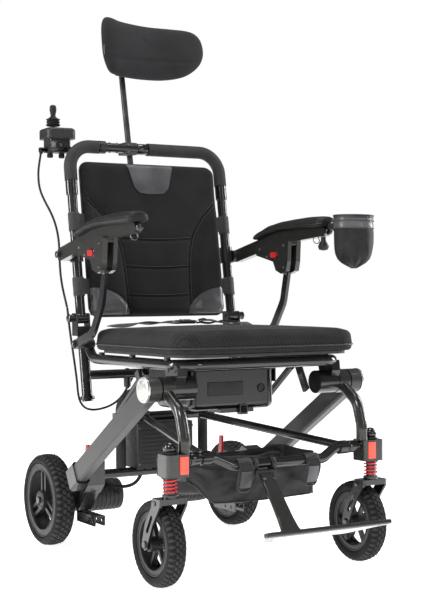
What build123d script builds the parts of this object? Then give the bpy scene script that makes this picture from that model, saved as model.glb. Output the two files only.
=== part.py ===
from build123d import *
import math
import os

# Folding power wheelchair, millimetres.  X is the user's left, -Y the front, Z up,
# and the origin lies on the floor, on the chair's plane of symmetry.

# ---------------------------------------------------------------- driving dimensions
DRIVE_R, DRIVE_W = 108.0, 50.0          # 8.5 inch drive wheel
DRIVE_X, DRIVE_Y = 255.0, 350.0
CAST_R, CAST_W = 89.0, 42.0             # 7 inch caster wheel
CAST_X, CAST_Y = 249.0, -248.0          # caster swivel axis
TRAIL = 50.0
HUB_Y, HUB_Z = -173.0, 399.0            # main folding pivot
SEAT_TUBE_R, SEAT_TUBE_Z = 11.5, 447.0
SEAT_W, SEAT_FRONT, SEAT_REAR = 450.0, -250.0, 180.0
CUSH_Z0, CUSH_Z1 = 469.3, 520.0
BACK_J = (265.0, 540.0)                 # backrest folding pivot, Y and Z
BACK_X = 206.0
BACK_TOP = (326.0, 952.0)
ARM_X = 241.0
ARM_G = (287.0, 690.0)                  # armrest pivot on the back tube
ARM_E = (60.0, 645.0)                   # strut to armrest
ARM_D = (219.0, 481.0)                  # strut to seat frame
BATT = (-113.0, 101.0, -100.0, 80.0, 341.0, 427.0)
BAG = (-197.0, 126.0, -222.0, -75.0, 161.0, 252.0)
FIT = 0.05                              # radial running clearance

os.makedirs("parts", exist_ok=True)
WRITTEN = []


def save(builder, name):
    builder.part.label = name
    export_step(builder.part, f"parts/{name}.step")
    WRITTEN.append(name)


# ---------------------------------------------------------------- small builders
def rod(p, q, r, mode=Mode.ADD):
    """Round bar between two points."""
    p, q = Vector(*p), Vector(*q)
    d = q - p
    xd = (0, 1, 0) if abs(d.X) > 0.9 * d.length else (1, 0, 0)
    with BuildSketch(Plane(origin=p, x_dir=xd, z_dir=d)) as sk:
        Circle(r)
    extrude(sk.sketch, amount=d.length, mode=mode)


def bar(p, q, w, h, cut=0.0, mode=Mode.ADD):
    """Rectangular bar, w across X and h across the other way."""
    p, q = Vector(*p), Vector(*q)
    d = q - p
    with BuildSketch(Plane(origin=p, x_dir=(1, 0, 0), z_dir=d)) as s:
        Rectangle(w, h)
        if cut:
            chamfer(s.vertices(), cut)
    extrude(s.sketch, amount=d.length, mode=mode)


def tube(points, radii, r, hole=0.0):
    """Round tube swept along straight runs joined by tangent arcs."""
    with BuildLine() as path:
        FilletPolyline(*points, radius=radii)
    with BuildSketch(Plane(origin=path.line @ 0, z_dir=path.line % 0)) as sk:
        Circle(r)
        if hole:
            Circle(hole, mode=Mode.SUBTRACT)
    sweep(sections=sk.sketch, path=path.line)


def block(x0, x1, y0, y1, z0, z1, mode=Mode.ADD):
    """Box from its limits."""
    with BuildSketch(Plane.XY.offset(z0)) as sk:
        with Locations(((x0 + x1) / 2, (y0 + y1) / 2)):
            Rectangle(abs(x1 - x0), abs(y1 - y0))
    extrude(sk.sketch, amount=z1 - z0, mode=mode)


def side(x0, x1, pts, round_=0.0, mode=Mode.ADD):
    """Side-view outline (Y, Z) with thickness from x0 to x1."""
    lo, hi = min(x0, x1), max(x0, x1)
    with BuildSketch(Plane.YZ.offset(lo)) as s:
        with BuildLine():
            Polyline(*pts, close=True)
        make_face()
        if round_:
            fillet(s.vertices(), round_)
    extrude(s.sketch, amount=hi - lo, mode=mode)


def xrod(x0, x1, yz, r, mode=Mode.ADD):
    """Round bar along X at a side-view point."""
    rod((min(x0, x1), yz[0], yz[1]), (max(x0, x1), yz[0], yz[1]), r, mode)


def ring_x(x0, x1, yz, r_out, r_in):
    """Collar along X."""
    lo, hi = min(x0, x1), max(x0, x1)
    with BuildSketch(Plane(origin=(lo, yz[0], yz[1]), x_dir=(0, 1, 0), z_dir=(1, 0, 0))) as sk:
        Circle(r_out)
        Circle(r_in, mode=Mode.SUBTRACT)
    extrude(sk.sketch, amount=hi - lo)


def wheel_plane(x, y, z):
    return Plane(origin=(x, y, z), x_dir=(1, 0, 0), z_dir=(0, -1, 0))


def back_y(z):
    """Y of the back tube's centre line at height z."""
    return BACK_J[0] + (BACK_TOP[0] - BACK_J[0]) * (z - BACK_J[1]) / (BACK_TOP[1] - BACK_J[1])


LOWER_DY = 0.1498                       # slope of the lower back posts


def low_y(z):
    return BACK_J[0] + LOWER_DY * (z - BACK_J[1])


# ================================================================ SEAT FRAME (root)
with BuildPart() as seat_frame:
    # bent seat tube, open at the back, its ends rising to the rear posts
    tube([(-200, 257, 500), (-200, 214, SEAT_TUBE_Z), (-200, -205, SEAT_TUBE_Z),
          (200, -205, SEAT_TUBE_Z), (200, 214, SEAT_TUBE_Z), (200, 257, 500)],
         [45, 45, 45, 45], SEAT_TUBE_R)
    for s in (-1, 1):
        # rear posts under the backrest hinge
        rod((s * 204, low_y(346), 346), (s * 205, low_y(520), 520), 12.5)
        rod((s * 204, low_y(350), 350), (s * 204, low_y(359), 359), 15.5)
        # hinge collar and cheeks
        block(s * 188.5, s * 223.5, 247, 277, 499, 521)
        for a, b in ((188.5, 192.7), (219.3, 223.5)):
            side(s * a, s * b, [(249, 510), (276, 510), (279, 552), (253, 552)], 4)
        # hinge pin with its outer knob
        xrod(s * 186, s * 228, BACK_J, 4.0)
        xrod(s * 223.5, s * 234, BACK_J, 9.0)
        # link plate down to the main pivot, and the inner pivot barrel
        side(s * 183, s * 204, [(-198, 447), (-143, 447), (-149, 424), (-154, 396), (-188, 396), (-201, 424)], 4)
        xrod(s * 155, s * 205.5, (HUB_Y, HUB_Z), 25)
        # strut lug and pin
        xrod(s * 196, s * 230, ARM_D, 11)
        xrod(s * 230, s * 246, ARM_D, 5)
        xrod(s * 244.5, s * 249.5, ARM_D, 8)
        # stand-offs under the seat board
        for y in (-150, 10, 165):
            rod((s * 200, y, 452), (s * 200, y, 463), 7)
    # lower crossbar with a sprung stop
    rod((-204, low_y(407), 407), (204, low_y(407), 407), 11)
    rod((-96, low_y(407), 372), (-96, low_y(407), 420), 5)
    rod((-96, low_y(407), 376), (-96, low_y(407), 400), 8.5)
    # cross straps that carry the battery
    block(-192, 192, -72, -48, 438, 445)
    block(-192, 192, 58, 82, 438, 445)
save(seat_frame, "seat_frame")

with BuildPart() as seat_pan:
    with BuildSketch(Plane.XY.offset(463)) as s:
        with Locations((0, (SEAT_FRONT + SEAT_REAR) / 2)):
            RectangleRounded(412, 414, 40)
    extrude(amount=6)
save(seat_pan, "seat_pan")

with BuildPart() as seat_cushion:
    with BuildSketch(Plane.XY.offset(CUSH_Z0)):
        with Locations((0, (SEAT_FRONT + SEAT_REAR) / 2)):
            RectangleRounded(SEAT_W, SEAT_REAR - SEAT_FRONT, 42)
    extrude(amount=CUSH_Z1 - CUSH_Z0)
    fillet(seat_cushion.faces().sort_by(Axis.Z)[-1].edges(), 14)
save(seat_cushion, "seat_cushion")

with BuildPart() as lap_belt:
    # two webbing tails that meet in a buckle on the back of the cushion
    block(-190, -14, 128, 166, 520.3, 522.8)
    block(32, 190, 128, 166, 520.3, 522.8)
    block(-14, 32, 124, 170, 520.3, 533)
save(lap_belt, "lap_belt")

# ---------------------------------------------------------------- front frame (root)
with BuildPart() as front_arms:
    for s in (-1, 1):
        xrod(s * 206, s * 234.5, (HUB_Y, HUB_Z), 26)
        tube([(s * 220, HUB_Y, HUB_Z), (s * 220, -240, 357), (s * 220, -256, 306), (s * 220, -256, 275.2)],
             [46, 46], 12.2)
        xrod(s * 204, s * 236, (HUB_Y, HUB_Z), 12, mode=Mode.SUBTRACT)
save(front_arms, "front_arms")

with BuildPart() as hub_pins:
    for s in (-1, 1):
        xrod(s * 206, s * 266, (HUB_Y, HUB_Z), 12)
        xrod(s * 265.5, s * 269.5, (HUB_Y, HUB_Z), 26.5)
save(hub_pins, "hub_pins")

with BuildPart() as caster_blocks:
    for s in (-1, 1):
        with BuildSketch(Plane.XY.offset(230)):
            with Locations((s * 241, -250)):
                RectangleRounded(54, 50, 11)
        extrude(amount=45)
        rod((s * CAST_X, CAST_Y, 228), (s * CAST_X, CAST_Y, 278), 10 + FIT, mode=Mode.SUBTRACT)
save(caster_blocks, "caster_blocks")

with BuildPart() as reflectors:
    for s in (-1, 1):
        block(s * 223, s * 241, -278, -275, 236, 271)
save(reflectors, "reflectors")

CROSS_SIDE = (-251.0, 262.0)
CROSS_MID = (-262.0, 243.0)
with BuildPart() as front_cross_tube:
    tube([(-214, *CROSS_SIDE), (-152, *CROSS_SIDE), (-112, *CROSS_MID),
          (112, *CROSS_MID), (152, *CROSS_SIDE), (214, *CROSS_SIDE)], [28, 28, 28, 28], 11)
save(front_cross_tube, "front_cross_tube")

with BuildPart() as frame_struts:
    for s in (-1, 1):
        # long strut from the front cross tube back to a hook over the rear cross tube
        ring_x(s * 160, s * 180, CROSS_SIDE, 14.5, 11)
        rod((s * 170, -236.4, 265.5), (s * 77, 190, 305), 9)
        block(s * 68, s * 86, 184, 191, 300, 321)
        block(s * 68, s * 86, 184, 226, 317.3, 321.3)
        # short seat brace and link beside the seat tube
        rod((s * 189, -31, 426.5), (s * 189, 100, 331), 8)
        bar((s * 208, -30, 429), (s * 208, -62, 372), 8, 18)
save(frame_struts, "frame_struts")

# ---------------------------------------------------------------- battery and bag
with BuildPart() as battery_tray:
    block(-96, 96, -94, 84, 430.5, 437.7)
    for s in (-1, 1):
        block(s * 118.5 if s < 0 else 104, s * 121.5 if s < 0 else 107, -90, 84, 398, 430.5)
    block(-121.5, 107, -90, 84, 430.5, 433)
save(battery_tray, "battery_tray")

with BuildPart() as battery:
    with BuildSketch(Plane.XY.offset(BATT[4])):
        with Locations(((BATT[0] + BATT[1]) / 2, (BATT[2] + BATT[3]) / 2)):
            RectangleRounded(BATT[1] - BATT[0], BATT[3] - BATT[2], 24)
    extrude(amount=BATT[5] - BATT[4])
    fillet(battery.faces().sort_by(Axis.Z)[0].edges(), 14)
    # grip under the front edge with the latch tab
    block(-40, 44, -96, -40, 334.5, 344)
    block(4, 24, -104, -92, 330, 352)
save(battery, "battery")

with BuildPart() as cargo_bag:
    # open-topped fabric bag slung behind the front cross tube
    # its right-hand end rises clear of the swivelling caster
    def front_outline(pts, y0, y1, mode=Mode.ADD):
        with BuildSketch(Plane(origin=(0, y1, 0), x_dir=(1, 0, 0), z_dir=(0, -1, 0))) as s:
            with BuildLine():
                Polyline(*pts, close=True)
            make_face()
        extrude(s.sketch, amount=y1 - y0, mode=mode)

    front_outline([(BAG[0], BAG[5]), (BAG[0], 206), (-150, 183), (-136, BAG[4]), (BAG[1], BAG[4]),
                   (BAG[1], BAG[5])], BAG[2], BAG[3])
    front_outline([(BAG[0] + 5, BAG[5] + 1), (BAG[0] + 5, 213), (-145, 189), (-132, BAG[4] + 7),
                   (BAG[1] - 5, BAG[4] + 7), (BAG[1] - 5, BAG[5] + 1)], BAG[2] + 5, BAG[3] - 5, Mode.SUBTRACT)
save(cargo_bag, "cargo_bag")

with BuildPart() as bag_straps:
    # the two loops that hang the bag on the cross tube
    for x0, x1 in ((-103, -70), (62, 95)):
        xc = (x0 + x1) / 2
        ring_x(x0, x1, CROSS_MID, 14.5, 11.2)
        block(x0, x1, -249.5, -222.2, 243, 246)
save(bag_straps, "bag_straps")

# ================================================================ REAR FRAME
LEG_END = (175.0, 191.0)
LEG_TIP = (LEG_END[0] + 0.104 * (LEG_END[0] - HUB_Y), LEG_END[1] + 0.104 * (LEG_END[1] - HUB_Z))
with BuildPart() as rear_legs:
    for s in (-1, 1):
        bar((s * 251, HUB_Y, HUB_Z), (s * 251, *LEG_END), 26, 45, 4)
        xrod(s * 238, s * 264, (HUB_Y, HUB_Z), 26)
        xrod(s * 236, s * 266, (HUB_Y, HUB_Z), 12 + FIT, mode=Mode.SUBTRACT)
save(rear_legs, "rear_legs")

with BuildPart() as motor_brackets:
    for s in (-1, 1):
        bar((s * 250, *LEG_END), (s * 250, *LEG_TIP), 34, 54, 5)
        side(s * 192, s * 235, [(170, 214), (196, 222), (222, 200), (224, 150), (196, 138), (172, 160)], 5)
        side(s * 192, s * 224, [(180, 214), (222, 208), (300, 160), (382, 140), (392, 92), (356, 70),
                                (250, 92), (200, 140)], 6)
        # wheel axle
        xrod(s * 222, s * 283, (DRIVE_Y, DRIVE_R), 7.5)
        # freewheel lever pin
        xrod(s * 178, s * 194, (285, 158), 4)
        # tie-down channel with two hole pairs
        side(s * 176, s * 179, [(205, 58), (305, 58), (305, 82), (205, 82)], 3)
        side(s * 200, s * 203, [(205, 58), (305, 58), (305, 82), (205, 82)], 3)
        block(s * 176, s * 203, 206, 304, 79, 82)
        side(s * 192, s * 199, [(262, 82), (300, 82), (306, 112), (268, 112)])
        for y in (222, 250):
            xrod(s * 174, s * 205, (y, 69), 4.5, mode=Mode.SUBTRACT)
save(motor_brackets, "motor_brackets")

with BuildPart() as drive_motors:
    for s in (-1, 1):
        xrod(s * 74, s * 166, (DRIVE_Y, DRIVE_R), 37)
        xrod(s * 166, s * 192, (DRIVE_Y, DRIVE_R), 27)
    for s in (-1, 1):
        with BuildSketch(Plane.YZ.offset(s * 120 - 20)):
            with Locations((330, 146)):
                RectangleRounded(26, 12, 3)
        extrude(amount=40)
save(drive_motors, "drive_motors")

REAR_T = (226.0, 305.0)
REAR_B = (250.0, 172.0)
with BuildPart() as rear_cross_tubes:
    xrod(-126, 126, REAR_T, 11)
    xrod(-192, 192, REAR_B, 11)
    for s in (-1, 1):
        block(s * 98, s * 126, 226, 266, 297, 313)
        rod((s * 112, 250, 290), (s * 112, 250, 320), 12.1, mode=Mode.SUBTRACT)
save(rear_cross_tubes, "rear_cross_tubes")

with BuildPart() as foam_arch:
    tube([(-112, 250, 183.2), (-112, 250, 360), (112, 250, 360), (112, 250, 183.2)], [42, 42], 12)
save(foam_arch, "foam_arch")

with BuildPart() as controller_box:
    with BuildSketch(Plane.XY.offset(184.5)):
        with Locations((-17, 243)):
            RectangleRounded(150, 86, 6)
    extrude(amount=106)
    for i in range(9):
        block(-80, 46, 198, 201.6, 196 + i * 9.6, 200 + i * 9.6, mode=Mode.SUBTRACT)
save(controller_box, "controller_box")

# ---------------------------------------------------------------- wheels
for s, tag in ((1, "left"), (-1, "right")):
    cx = s * DRIVE_X
    axis = Axis((cx, DRIVE_Y, DRIVE_R), (1, 0, 0))
    with BuildPart() as drive_tire:
        with BuildSketch(wheel_plane(cx, DRIVE_Y, DRIVE_R)):
            with BuildLine():
                Polyline((-20, 87), (-25, 94), (-25, 98), (-17, 106.5), (-8, 108), (8, 108),
                         (17, 106.5), (25, 98), (25, 94), (20, 87), close=True)
            make_face()
        revolve(axis=axis)
    save(drive_tire, f"drive_tire_{tag}")
    with BuildPart() as drive_rim:
        with BuildSketch(wheel_plane(cx, DRIVE_Y, DRIVE_R)):
            with BuildLine():
                Polyline((-20, 86.8), (-20, 70), (-15, 70), (-13, 76), (13, 76), (15, 70), (20, 70),
                         (20, 86.8), close=True)
            make_face()
        revolve(axis=axis)
        xrod(cx - 22, cx + 22, (DRIVE_Y, DRIVE_R), 22)
        for k in range(3):
            with BuildSketch(Plane(origin=(cx - 8 + s * 6, DRIVE_Y, DRIVE_R), x_dir=(0, 1, 0), z_dir=(1, 0, 0))):
                with PolarLocations(0, 1, start_angle=90 + 120 * k):
                    with Locations((48, 10), (48, -10)):
                        Rectangle(62, 8)
            extrude(amount=16)
        xrod(cx - 40, cx + 40, (DRIVE_Y, DRIVE_R), 7.5 + FIT, mode=Mode.SUBTRACT)
    save(drive_rim, f"drive_rim_{tag}")

    # freewheel lever on the motor bracket
    with BuildPart() as lever:
        side(s * 181, s * 187, [(276, 152), (295, 152), (292, 196), (287, 240), (275, 240), (277, 196)], 3)
        xrod(s * 181, s * 190, (285, 158), 9)
        xrod(s * 176, s * 195, (285, 158), 4 + FIT, mode=Mode.SUBTRACT)
    save(lever, f"freewheel_lever_{tag}")

    # caster: sliding stem, spring, swivelling fork, wheel
    kx = s * CAST_X
    with BuildPart() as stem:
        rod((kx, CAST_Y, 188), (kx, CAST_Y, 278), 10)
        rod((kx, CAST_Y, 188), (kx, CAST_Y, 194), 16.5)
        rod((kx, CAST_Y, 177), (kx, CAST_Y, 189), 6)
        with Locations((kx, CAST_Y, 286)):
            Sphere(13.8)
        block(kx - 20, kx + 20, CAST_Y - 20, CAST_Y + 20, 268, 275.8, mode=Mode.SUBTRACT)
        rod((kx, CAST_Y, 262), (kx, CAST_Y, 278), 10)
    save(stem, f"caster_stem_{tag}")
    with BuildPart() as spring:
        with BuildLine() as coil:
            Helix(pitch=7.3, height=32.2, radius=13.7, center=(kx, CAST_Y, 195.9))
        with BuildSketch(Plane(origin=coil.line @ 0, z_dir=coil.line % 0)):
            Circle(1.6)
        sweep(path=coil.line, is_frenet=True)
    save(spring, f"caster_spring_{tag}")
    ax = (CAST_Y + TRAIL, CAST_R)
    with BuildPart() as fork:
        with BuildSketch(Plane.XY.offset(176)):
            with Locations((kx, -247)):
                RectangleRounded(64, 38, 8)
        extrude(amount=11.5)
        for t in (-1, 1):
            with BuildSketch(Plane.YZ.offset(kx + (27 if t > 0 else -32))) as leg:
                with BuildLine():
                    Polyline((-264, 187), (-231, 187), (-226, 168), (-200, 134), (-186, 96), (-188, 82),
                             (-198, 77), (-208, 82), (-213, 98), (-232, 134), (-262, 172), close=True)
                make_face()
                with Locations((-218, 133)):
                    SlotOverall(44, 9, rotation=-58, mode=Mode.SUBTRACT)
            extrude(amount=5)
        xrod(kx - 31, kx + 31, ax, 4)
        rod((kx, CAST_Y, 170), (kx, CAST_Y, 190), 6 + FIT, mode=Mode.SUBTRACT)
    save(fork, f"caster_fork_{tag}")
    caxis = Axis((kx, ax[0], ax[1]), (1, 0, 0))
    with BuildPart() as ctire:
        with BuildSketch(wheel_plane(kx, *ax)):
            with BuildLine():
                Polyline((-15, 66), (-20, 72), (-21, 77), (-15, 86), (-7, 89), (7, 89), (15, 86),
                         (21, 77), (20, 72), (15, 66), close=True)
            make_face()
        revolve(axis=caxis)
    save(ctire, f"caster_tire_{tag}")
    with BuildPart() as crim:
        with BuildSketch(wheel_plane(kx, *ax)):
            with BuildLine():
                Polyline((-15, 65.8), (-15, 54), (-11, 54), (-9, 58), (9, 58), (11, 54), (15, 54),
                         (15, 65.8), close=True)
            make_face()
        revolve(axis=caxis)
        xrod(kx - 23, kx + 23, ax, 15)
        with BuildSketch(Plane(origin=(kx - 5, ax[0], ax[1]), x_dir=(0, 1, 0), z_dir=(1, 0, 0))):
            with PolarLocations(0, 6):
                with Locations((35, 0)):
                    Rectangle(46, 7)
        extrude(amount=10)
        xrod(kx - 40, kx + 40, ax, 4 + FIT, mode=Mode.SUBTRACT)
    save(crim, f"caster_rim_{tag}")

# ================================================================ BACKREST
POST_X, POST_Y, POST_Z = -36.0, 344.6, 952.0
POST_LEAN = 0.2                         # the headrest post leans back


def post_point(z):
    return (POST_X, POST_Y + POST_LEAN * (z - POST_Z), z)


with BuildPart() as back_frame:
    for s in (-1, 1):
        # eye that turns on the hinge pin
        xrod(s * 193.3, s * 218.7, BACK_J, 12.5)
    tube([(-BACK_X, *BACK_J), (-BACK_X, *BACK_TOP), (BACK_X, *BACK_TOP), (BACK_X, *BACK_J)], [55, 55], 11.5)
    for s in (-1, 1):
        xrod(s * 190, s * 222, BACK_J, 4 + FIT, mode=Mode.SUBTRACT)
        # armrest pivot collar and pin
        gy = back_y(ARM_G[1])
        rod((s * BACK_X, back_y(672), 672), (s * BACK_X, back_y(708), 708), 15.5)
        xrod(s * 214, s * 254, ARM_G, 5)
        xrod(s * 252, s * 258, ARM_G, 8)
    # headrest clamp on the top bar
    with BuildSketch(Plane.XY.offset(938)):
        with Locations((-43, 340)):
            RectangleRounded(34, 38, 4)
    extrude(amount=28)
    rod((-60, 345, 951), (-76, 345, 951), 8.5)
    bar(post_point(915), post_point(995), 14.8, 8.8, mode=Mode.SUBTRACT)
save(back_frame, "back_frame")

with BuildPart() as push_grips:
    for s, inner in ((-1, 132), (1, 4)):
        tube([(s * BACK_X, back_y(868), 868), (s * BACK_X, *BACK_TOP), (s * inner, *BACK_TOP)], [55], 15.5, 11.6)
save(push_grips, "push_grips")

with BuildPart() as back_upholstery:
    # padded panel in the plane of the back tubes
    up = Vector(0, BACK_TOP[0] - BACK_J[0], BACK_TOP[1] - BACK_J[1]).normalized()
    fwd = Vector(0, -up.Z, up.Y)
    org = Vector(0, BACK_J[0], BACK_J[1]) + up * 190 + fwd * (-8)
    with BuildSketch(Plane(origin=org, x_dir=(1, 0, 0), z_dir=fwd)) as s:
        RectangleRounded(366, 372, 22)
    extrude(amount=30)
save(back_upholstery, "back_upholstery")

with BuildPart() as back_straps:
    for s in (-1, 1):
        for z in (768, 614):
            p = Vector(s * BACK_X, back_y(z - 22), z - 22)
            q = Vector(s * BACK_X, back_y(z + 22), z + 22)
            with BuildSketch(Plane(origin=p, x_dir=(1, 0, 0), z_dir=q - p)):
                Circle(14)
                Circle(11.7, mode=Mode.SUBTRACT)
            extrude(amount=(q - p).length)
save(back_straps, "back_straps")

# ---------------------------------------------------------------- attendant joystick
JX, JY = -220.0, 386.0
with BuildPart() as joystick_pod:
    with BuildSketch(Plane.XY.offset(972)):
        with Locations((-210, 384)):
            RectangleRounded(74, 68, 14)
    extrude(amount=25)
    fillet(joystick_pod.faces().sort_by(Axis.Z)[-1].edges(), 6)
    # clamp block below, and the arm to the top bar
    block(-244, -190, 352, 388, 938, 972.5)
    block(-262, -242, 366.5, 377.5, 938.4, 949)
    block(-200, -112, 350, 362, 940, 952)
    ring_x(-128, -112, BACK_TOP, 15.5, 11.6)
    block(-128, -112, 339, 362, 940, 952)
    for x in (-236, -206):
        rod((x, 369, 926), (x, 369, 939), 6.5)
save(joystick_pod, "joystick_pod")

with BuildPart() as joystick_gimbal:
    rod((JX, JY, 999.2), (JX, JY, 1001.4), 6)
save(joystick_gimbal, "joystick_gimbal")

with BuildPart() as joystick_stick:
    with BuildSketch(wheel_plane(JX, JY, 1004)):
        with BuildLine():
            Polyline((0, 0), (15, 0), (18, 3), (14, 6), (17, 10), (14, 13), (17.5, 16), (10, 20), (6, 24),
                     (6.5, 30), (8.5, 38), (8, 47), (5, 51), (0, 51), close=True)
        make_face()
    revolve(axis=Axis((JX, JY, 1004), (0, 0, 1)))
save(joystick_stick, "joystick_stick")

CABLE_UP = [(-258, 372, 938.0), (-266, 368, 905), (-271, 360, 876), (-272, 349, 846), (-264, 338, 818),
            (-252, 328, 790), (-243, 321, 760), (-239, 314, 725), (-240, 309, 690), (-241.5, 303, 655),
            (-242, 293, 622), (-241, 280, 592), (-238.8, 270, 566)]


def cable_radii(points):
    out = []
    for a, b, c in zip(points, points[1:], points[2:]):
        u, v = Vector(*b) - Vector(*a), Vector(*c) - Vector(*b)
        turn = u.get_angle(v)
        out.append(0.45 * min(u.length, v.length) / math.tan(math.radians(turn / 2)))
    return out


def cable(points, r, name):
    rr = cable_radii(points)
    with BuildPart() as lead:
        with BuildLine() as path:
            FilletPolyline(*points, radius=rr)
        with BuildSketch(Plane(origin=path.line @ 0, z_dir=path.line % 0)):
            Circle(r)
        sweep(path=path.line)
    run = sum(e.length for e in path.edges())
    print(name, "radii", [round(v) for v in rr], "length", round(run, 1),
          "volume ratio", round(lead.part.volume / (3.14159265 * r * r * run), 4))
    return lead


upper = cable(CABLE_UP, 2.6, "joystick_cable_upper")
save(upper, "joystick_cable_upper")
CABLE_LOW = [(-238.6, 269.6, 564.8), (-238.4, 265, 545), (-237.5, 261.5, 522), (-235, 258, 492), (-231, 255, 458),
             (-227, 253, 424), (-224, 250, 392), (-223.5, 247, 366), (-219, 245, 344), (-206, 245, 330),
             (-188, 246, 325), (-168, 250, 325.5), (-148, 257, 328), (-130, 265, 332), (-112, 272, 339),
             (-97, 275, 350), (-86, 272, 366), (-80.5, 263, 384), (-80, 250, 395.6)]
lower = cable(CABLE_LOW, 2.6, "joystick_cable_lower")
save(lower, "joystick_cable_lower")

# ---------------------------------------------------------------- headrest
with BuildPart() as headrest_post:
    bar(post_point(908), post_point(1150), 14, 8, 2)
    top = post_point(1150)
    xrod(POST_X - 7, POST_X + 7, top[1:], 9)
    xrod(POST_X - 12, POST_X + 12, top[1:], 3 + FIT, mode=Mode.SUBTRACT)
save(headrest_post, "headrest_post")

with BuildPart() as headrest:
    # contoured pillow in a plane that leans with the post, higher at its right-hand lobe
    lean = Vector(0, POST_LEAN, 1).normalized()
    ahead = Vector(0, -lean.Z, lean.Y)
    foot = Vector(0, post_point(1190)[1], 1190) + ahead * 14
    with BuildSketch(Plane(origin=foot, x_dir=(1, 0, 0), z_dir=ahead)) as s:
        with BuildLine():
            Polyline((-98, -62), (-110, -6), (-108, 50), (-84, 76), (20, 70), (140, 66),
                     (172, 40), (174, 0), (150, -40), (96, -66), (0, -72), (-70, -70), close=True)
        make_face()
        fillet(s.vertices(), 14)
    extrude(amount=58)
    fillet(headrest.faces().sort_by(Axis.Y)[0].edges(), 10)
    # swivel plate and its pin
    py = top[1]
    for a, b in ((POST_X - 15, POST_X - 7.4), (POST_X + 7.4, POST_X + 15)):
        side(a, b, [(py - 24, 1139), (py + 1, 1139), (py + 8, 1146), (py + 8, 1154), (py + 1, 1161),
                    (py - 18, 1161)], 2)
    xrod(POST_X - 15, POST_X + 15, (py, 1150), 3)
save(headrest, "headrest")

# ================================================================ ARMRESTS
for s, tag in ((1, "left"), (-1, "right")):
    with BuildPart() as hub:
        xrod(s * 222, s * 231.5, ARM_G, 15)
        xrod(s * 220, s * 236, ARM_G, 5 + FIT, mode=Mode.SUBTRACT)
    save(hub, f"armrest_pivot_{tag}")

    with BuildPart() as arm:
        side(s * 232, s * 250, [(ARM_G[0] + 8, 677), (ARM_G[0] + 10, 702), (ARM_G[0] - 4, 706), (200, 722),
                                (110, 739), (60, 744), (-100, 744), (-110, 730), (-96, 724), (30, 716),
                                (110, 706), (200, 690), (ARM_G[0] - 6, 675)], 3)
        # housing for the strut latch: two cheeks and a web
        for a, b in ((223, 233), (247.5, 259.5)):
            side(s * a, s * b, [(40, 648), (62, 641), (86, 650), (97, 671), (172, 688), (174, 712), (30, 722), (34, 670)], 3)
        side(s * 223, s * 259.5, [(32, 708), (170, 694), (170, 712), (32, 722)], 3)
        xrod(s * 228, s * 254, ARM_G, 5 + FIT, mode=Mode.SUBTRACT)
        # push button hole through both cheeks
        with BuildSketch(Plane.YZ.offset(s * 240 - 25)):
            with Locations((92, 687)):
                SlotOverall(28.8, 14.8)
        extrude(amount=50, mode=Mode.SUBTRACT)
    save(arm, f"armrest_{tag}")

    with BuildPart() as pad:
        side(s * 215, s * 267, [(188, 724.8), (190, 733), (110, 762), (60, 770), (-104, 768), (-112, 758),
                                (-108, 744.4), (60, 744.4), (110, 739.4)], 3)
    save(pad, f"arm_pad_{tag}")

    with BuildPart() as strut:
        with BuildLine() as path:
            FilletPolyline((s * 240, *ARM_E), (s * 240, 78, 575), (s * 240, 128, 505), (s * 240, *ARM_D),
                           radius=[60, 60])
        with BuildSketch(Plane(origin=path.line @ 0, x_dir=(1, 0, 0), z_dir=path.line % 0)):
            Rectangle(8, 20)
        sweep(path=path.line)
        xrod(s * 236, s * 244, ARM_E, 10)
        xrod(s * 236, s * 244, ARM_D, 11)
        xrod(s * 230, s * 250, ARM_D, 5 + FIT, mode=Mode.SUBTRACT)
    save(strut, f"arm_strut_{tag}")

    with BuildPart() as button:
        with BuildSketch(Plane.YZ.offset(min(s * 220.5, s * 263))):
            with Locations((92, 687)):
                SlotOverall(28, 14)
        extrude(amount=42.5)
    save(button, f"arm_release_{tag}")

with BuildPart() as cup_holder:
    # hanging mesh cup with an open mouth, on a bracket at the left armrest
    with BuildSketch(wheel_plane(242, -202, 0)):
        with BuildLine():
            Polyline((0, 645), (20, 650), (37, 668), (43.5, 700), (45, 766), (42.5, 766), (41, 700), (35, 670),
                     (19, 653), (0, 648), close=True)
        make_face()
    revolve(axis=Axis((242, -202, 0), (0, 0, 1)))
    block(232, 252, -161, -113.5, 738, 752)
    block(228, 256, -162, -156, 726, 762)
    rod((242, -124, 735), (242, -124, 755), 6)
save(cup_holder, "cup_holder")

with BuildPart() as arm_knobs:
    # cone-shaped clamp knob under the front of the left armrest
    with BuildSketch(wheel_plane(241, -88, 0)):
        with BuildLine():
            Polyline((0, 691), (9, 693), (12, 701), (6, 715), (6, 722.6), (0, 722.6), close=True)
        make_face()
    revolve(axis=Axis((241, -88, 0), (0, 0, 1)))
save(arm_knobs, "cup_clamp_knob")

# ================================================================ FOOTPLATE
with BuildPart() as footplate:
    # two half clips on the cross tube, the arm and the plate
    for a, b in ((-68, -58), (-24, -14)):
        ring_x(a, b, CROSS_MID, 15.5, 11 + FIT)
    side(-68, -14, [(-277.5, 246), (-273.5, 246), (-273.5, 233), (-268, 226), (-272, 218), (-284, 224)])
    side(-57, -25, [(-283, 226), (-273, 219), (-364, 108), (-379, 112)])
    # plate with its front edge raised 18 degrees
    pl = Plane(origin=(0, -451, 134), x_dir=(1, 0, 0), z_dir=(0, 0.309, 0.9511)).offset(-5)
    with BuildSketch(pl) as s:
        with BuildLine():
            Polyline((-150, 0), (150, 0), (150, 12), (98, 96), (-98, 96), (-150, 12), close=True)
        make_face()
        fillet(s.vertices(), 5)
    extrude(amount=10)
save(footplate, "footplate")

print(len(WRITTEN), "nodes")
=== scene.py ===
import bpy, bmesh, math
import numpy as np
from mathutils import Vector, Matrix, noise


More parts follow.
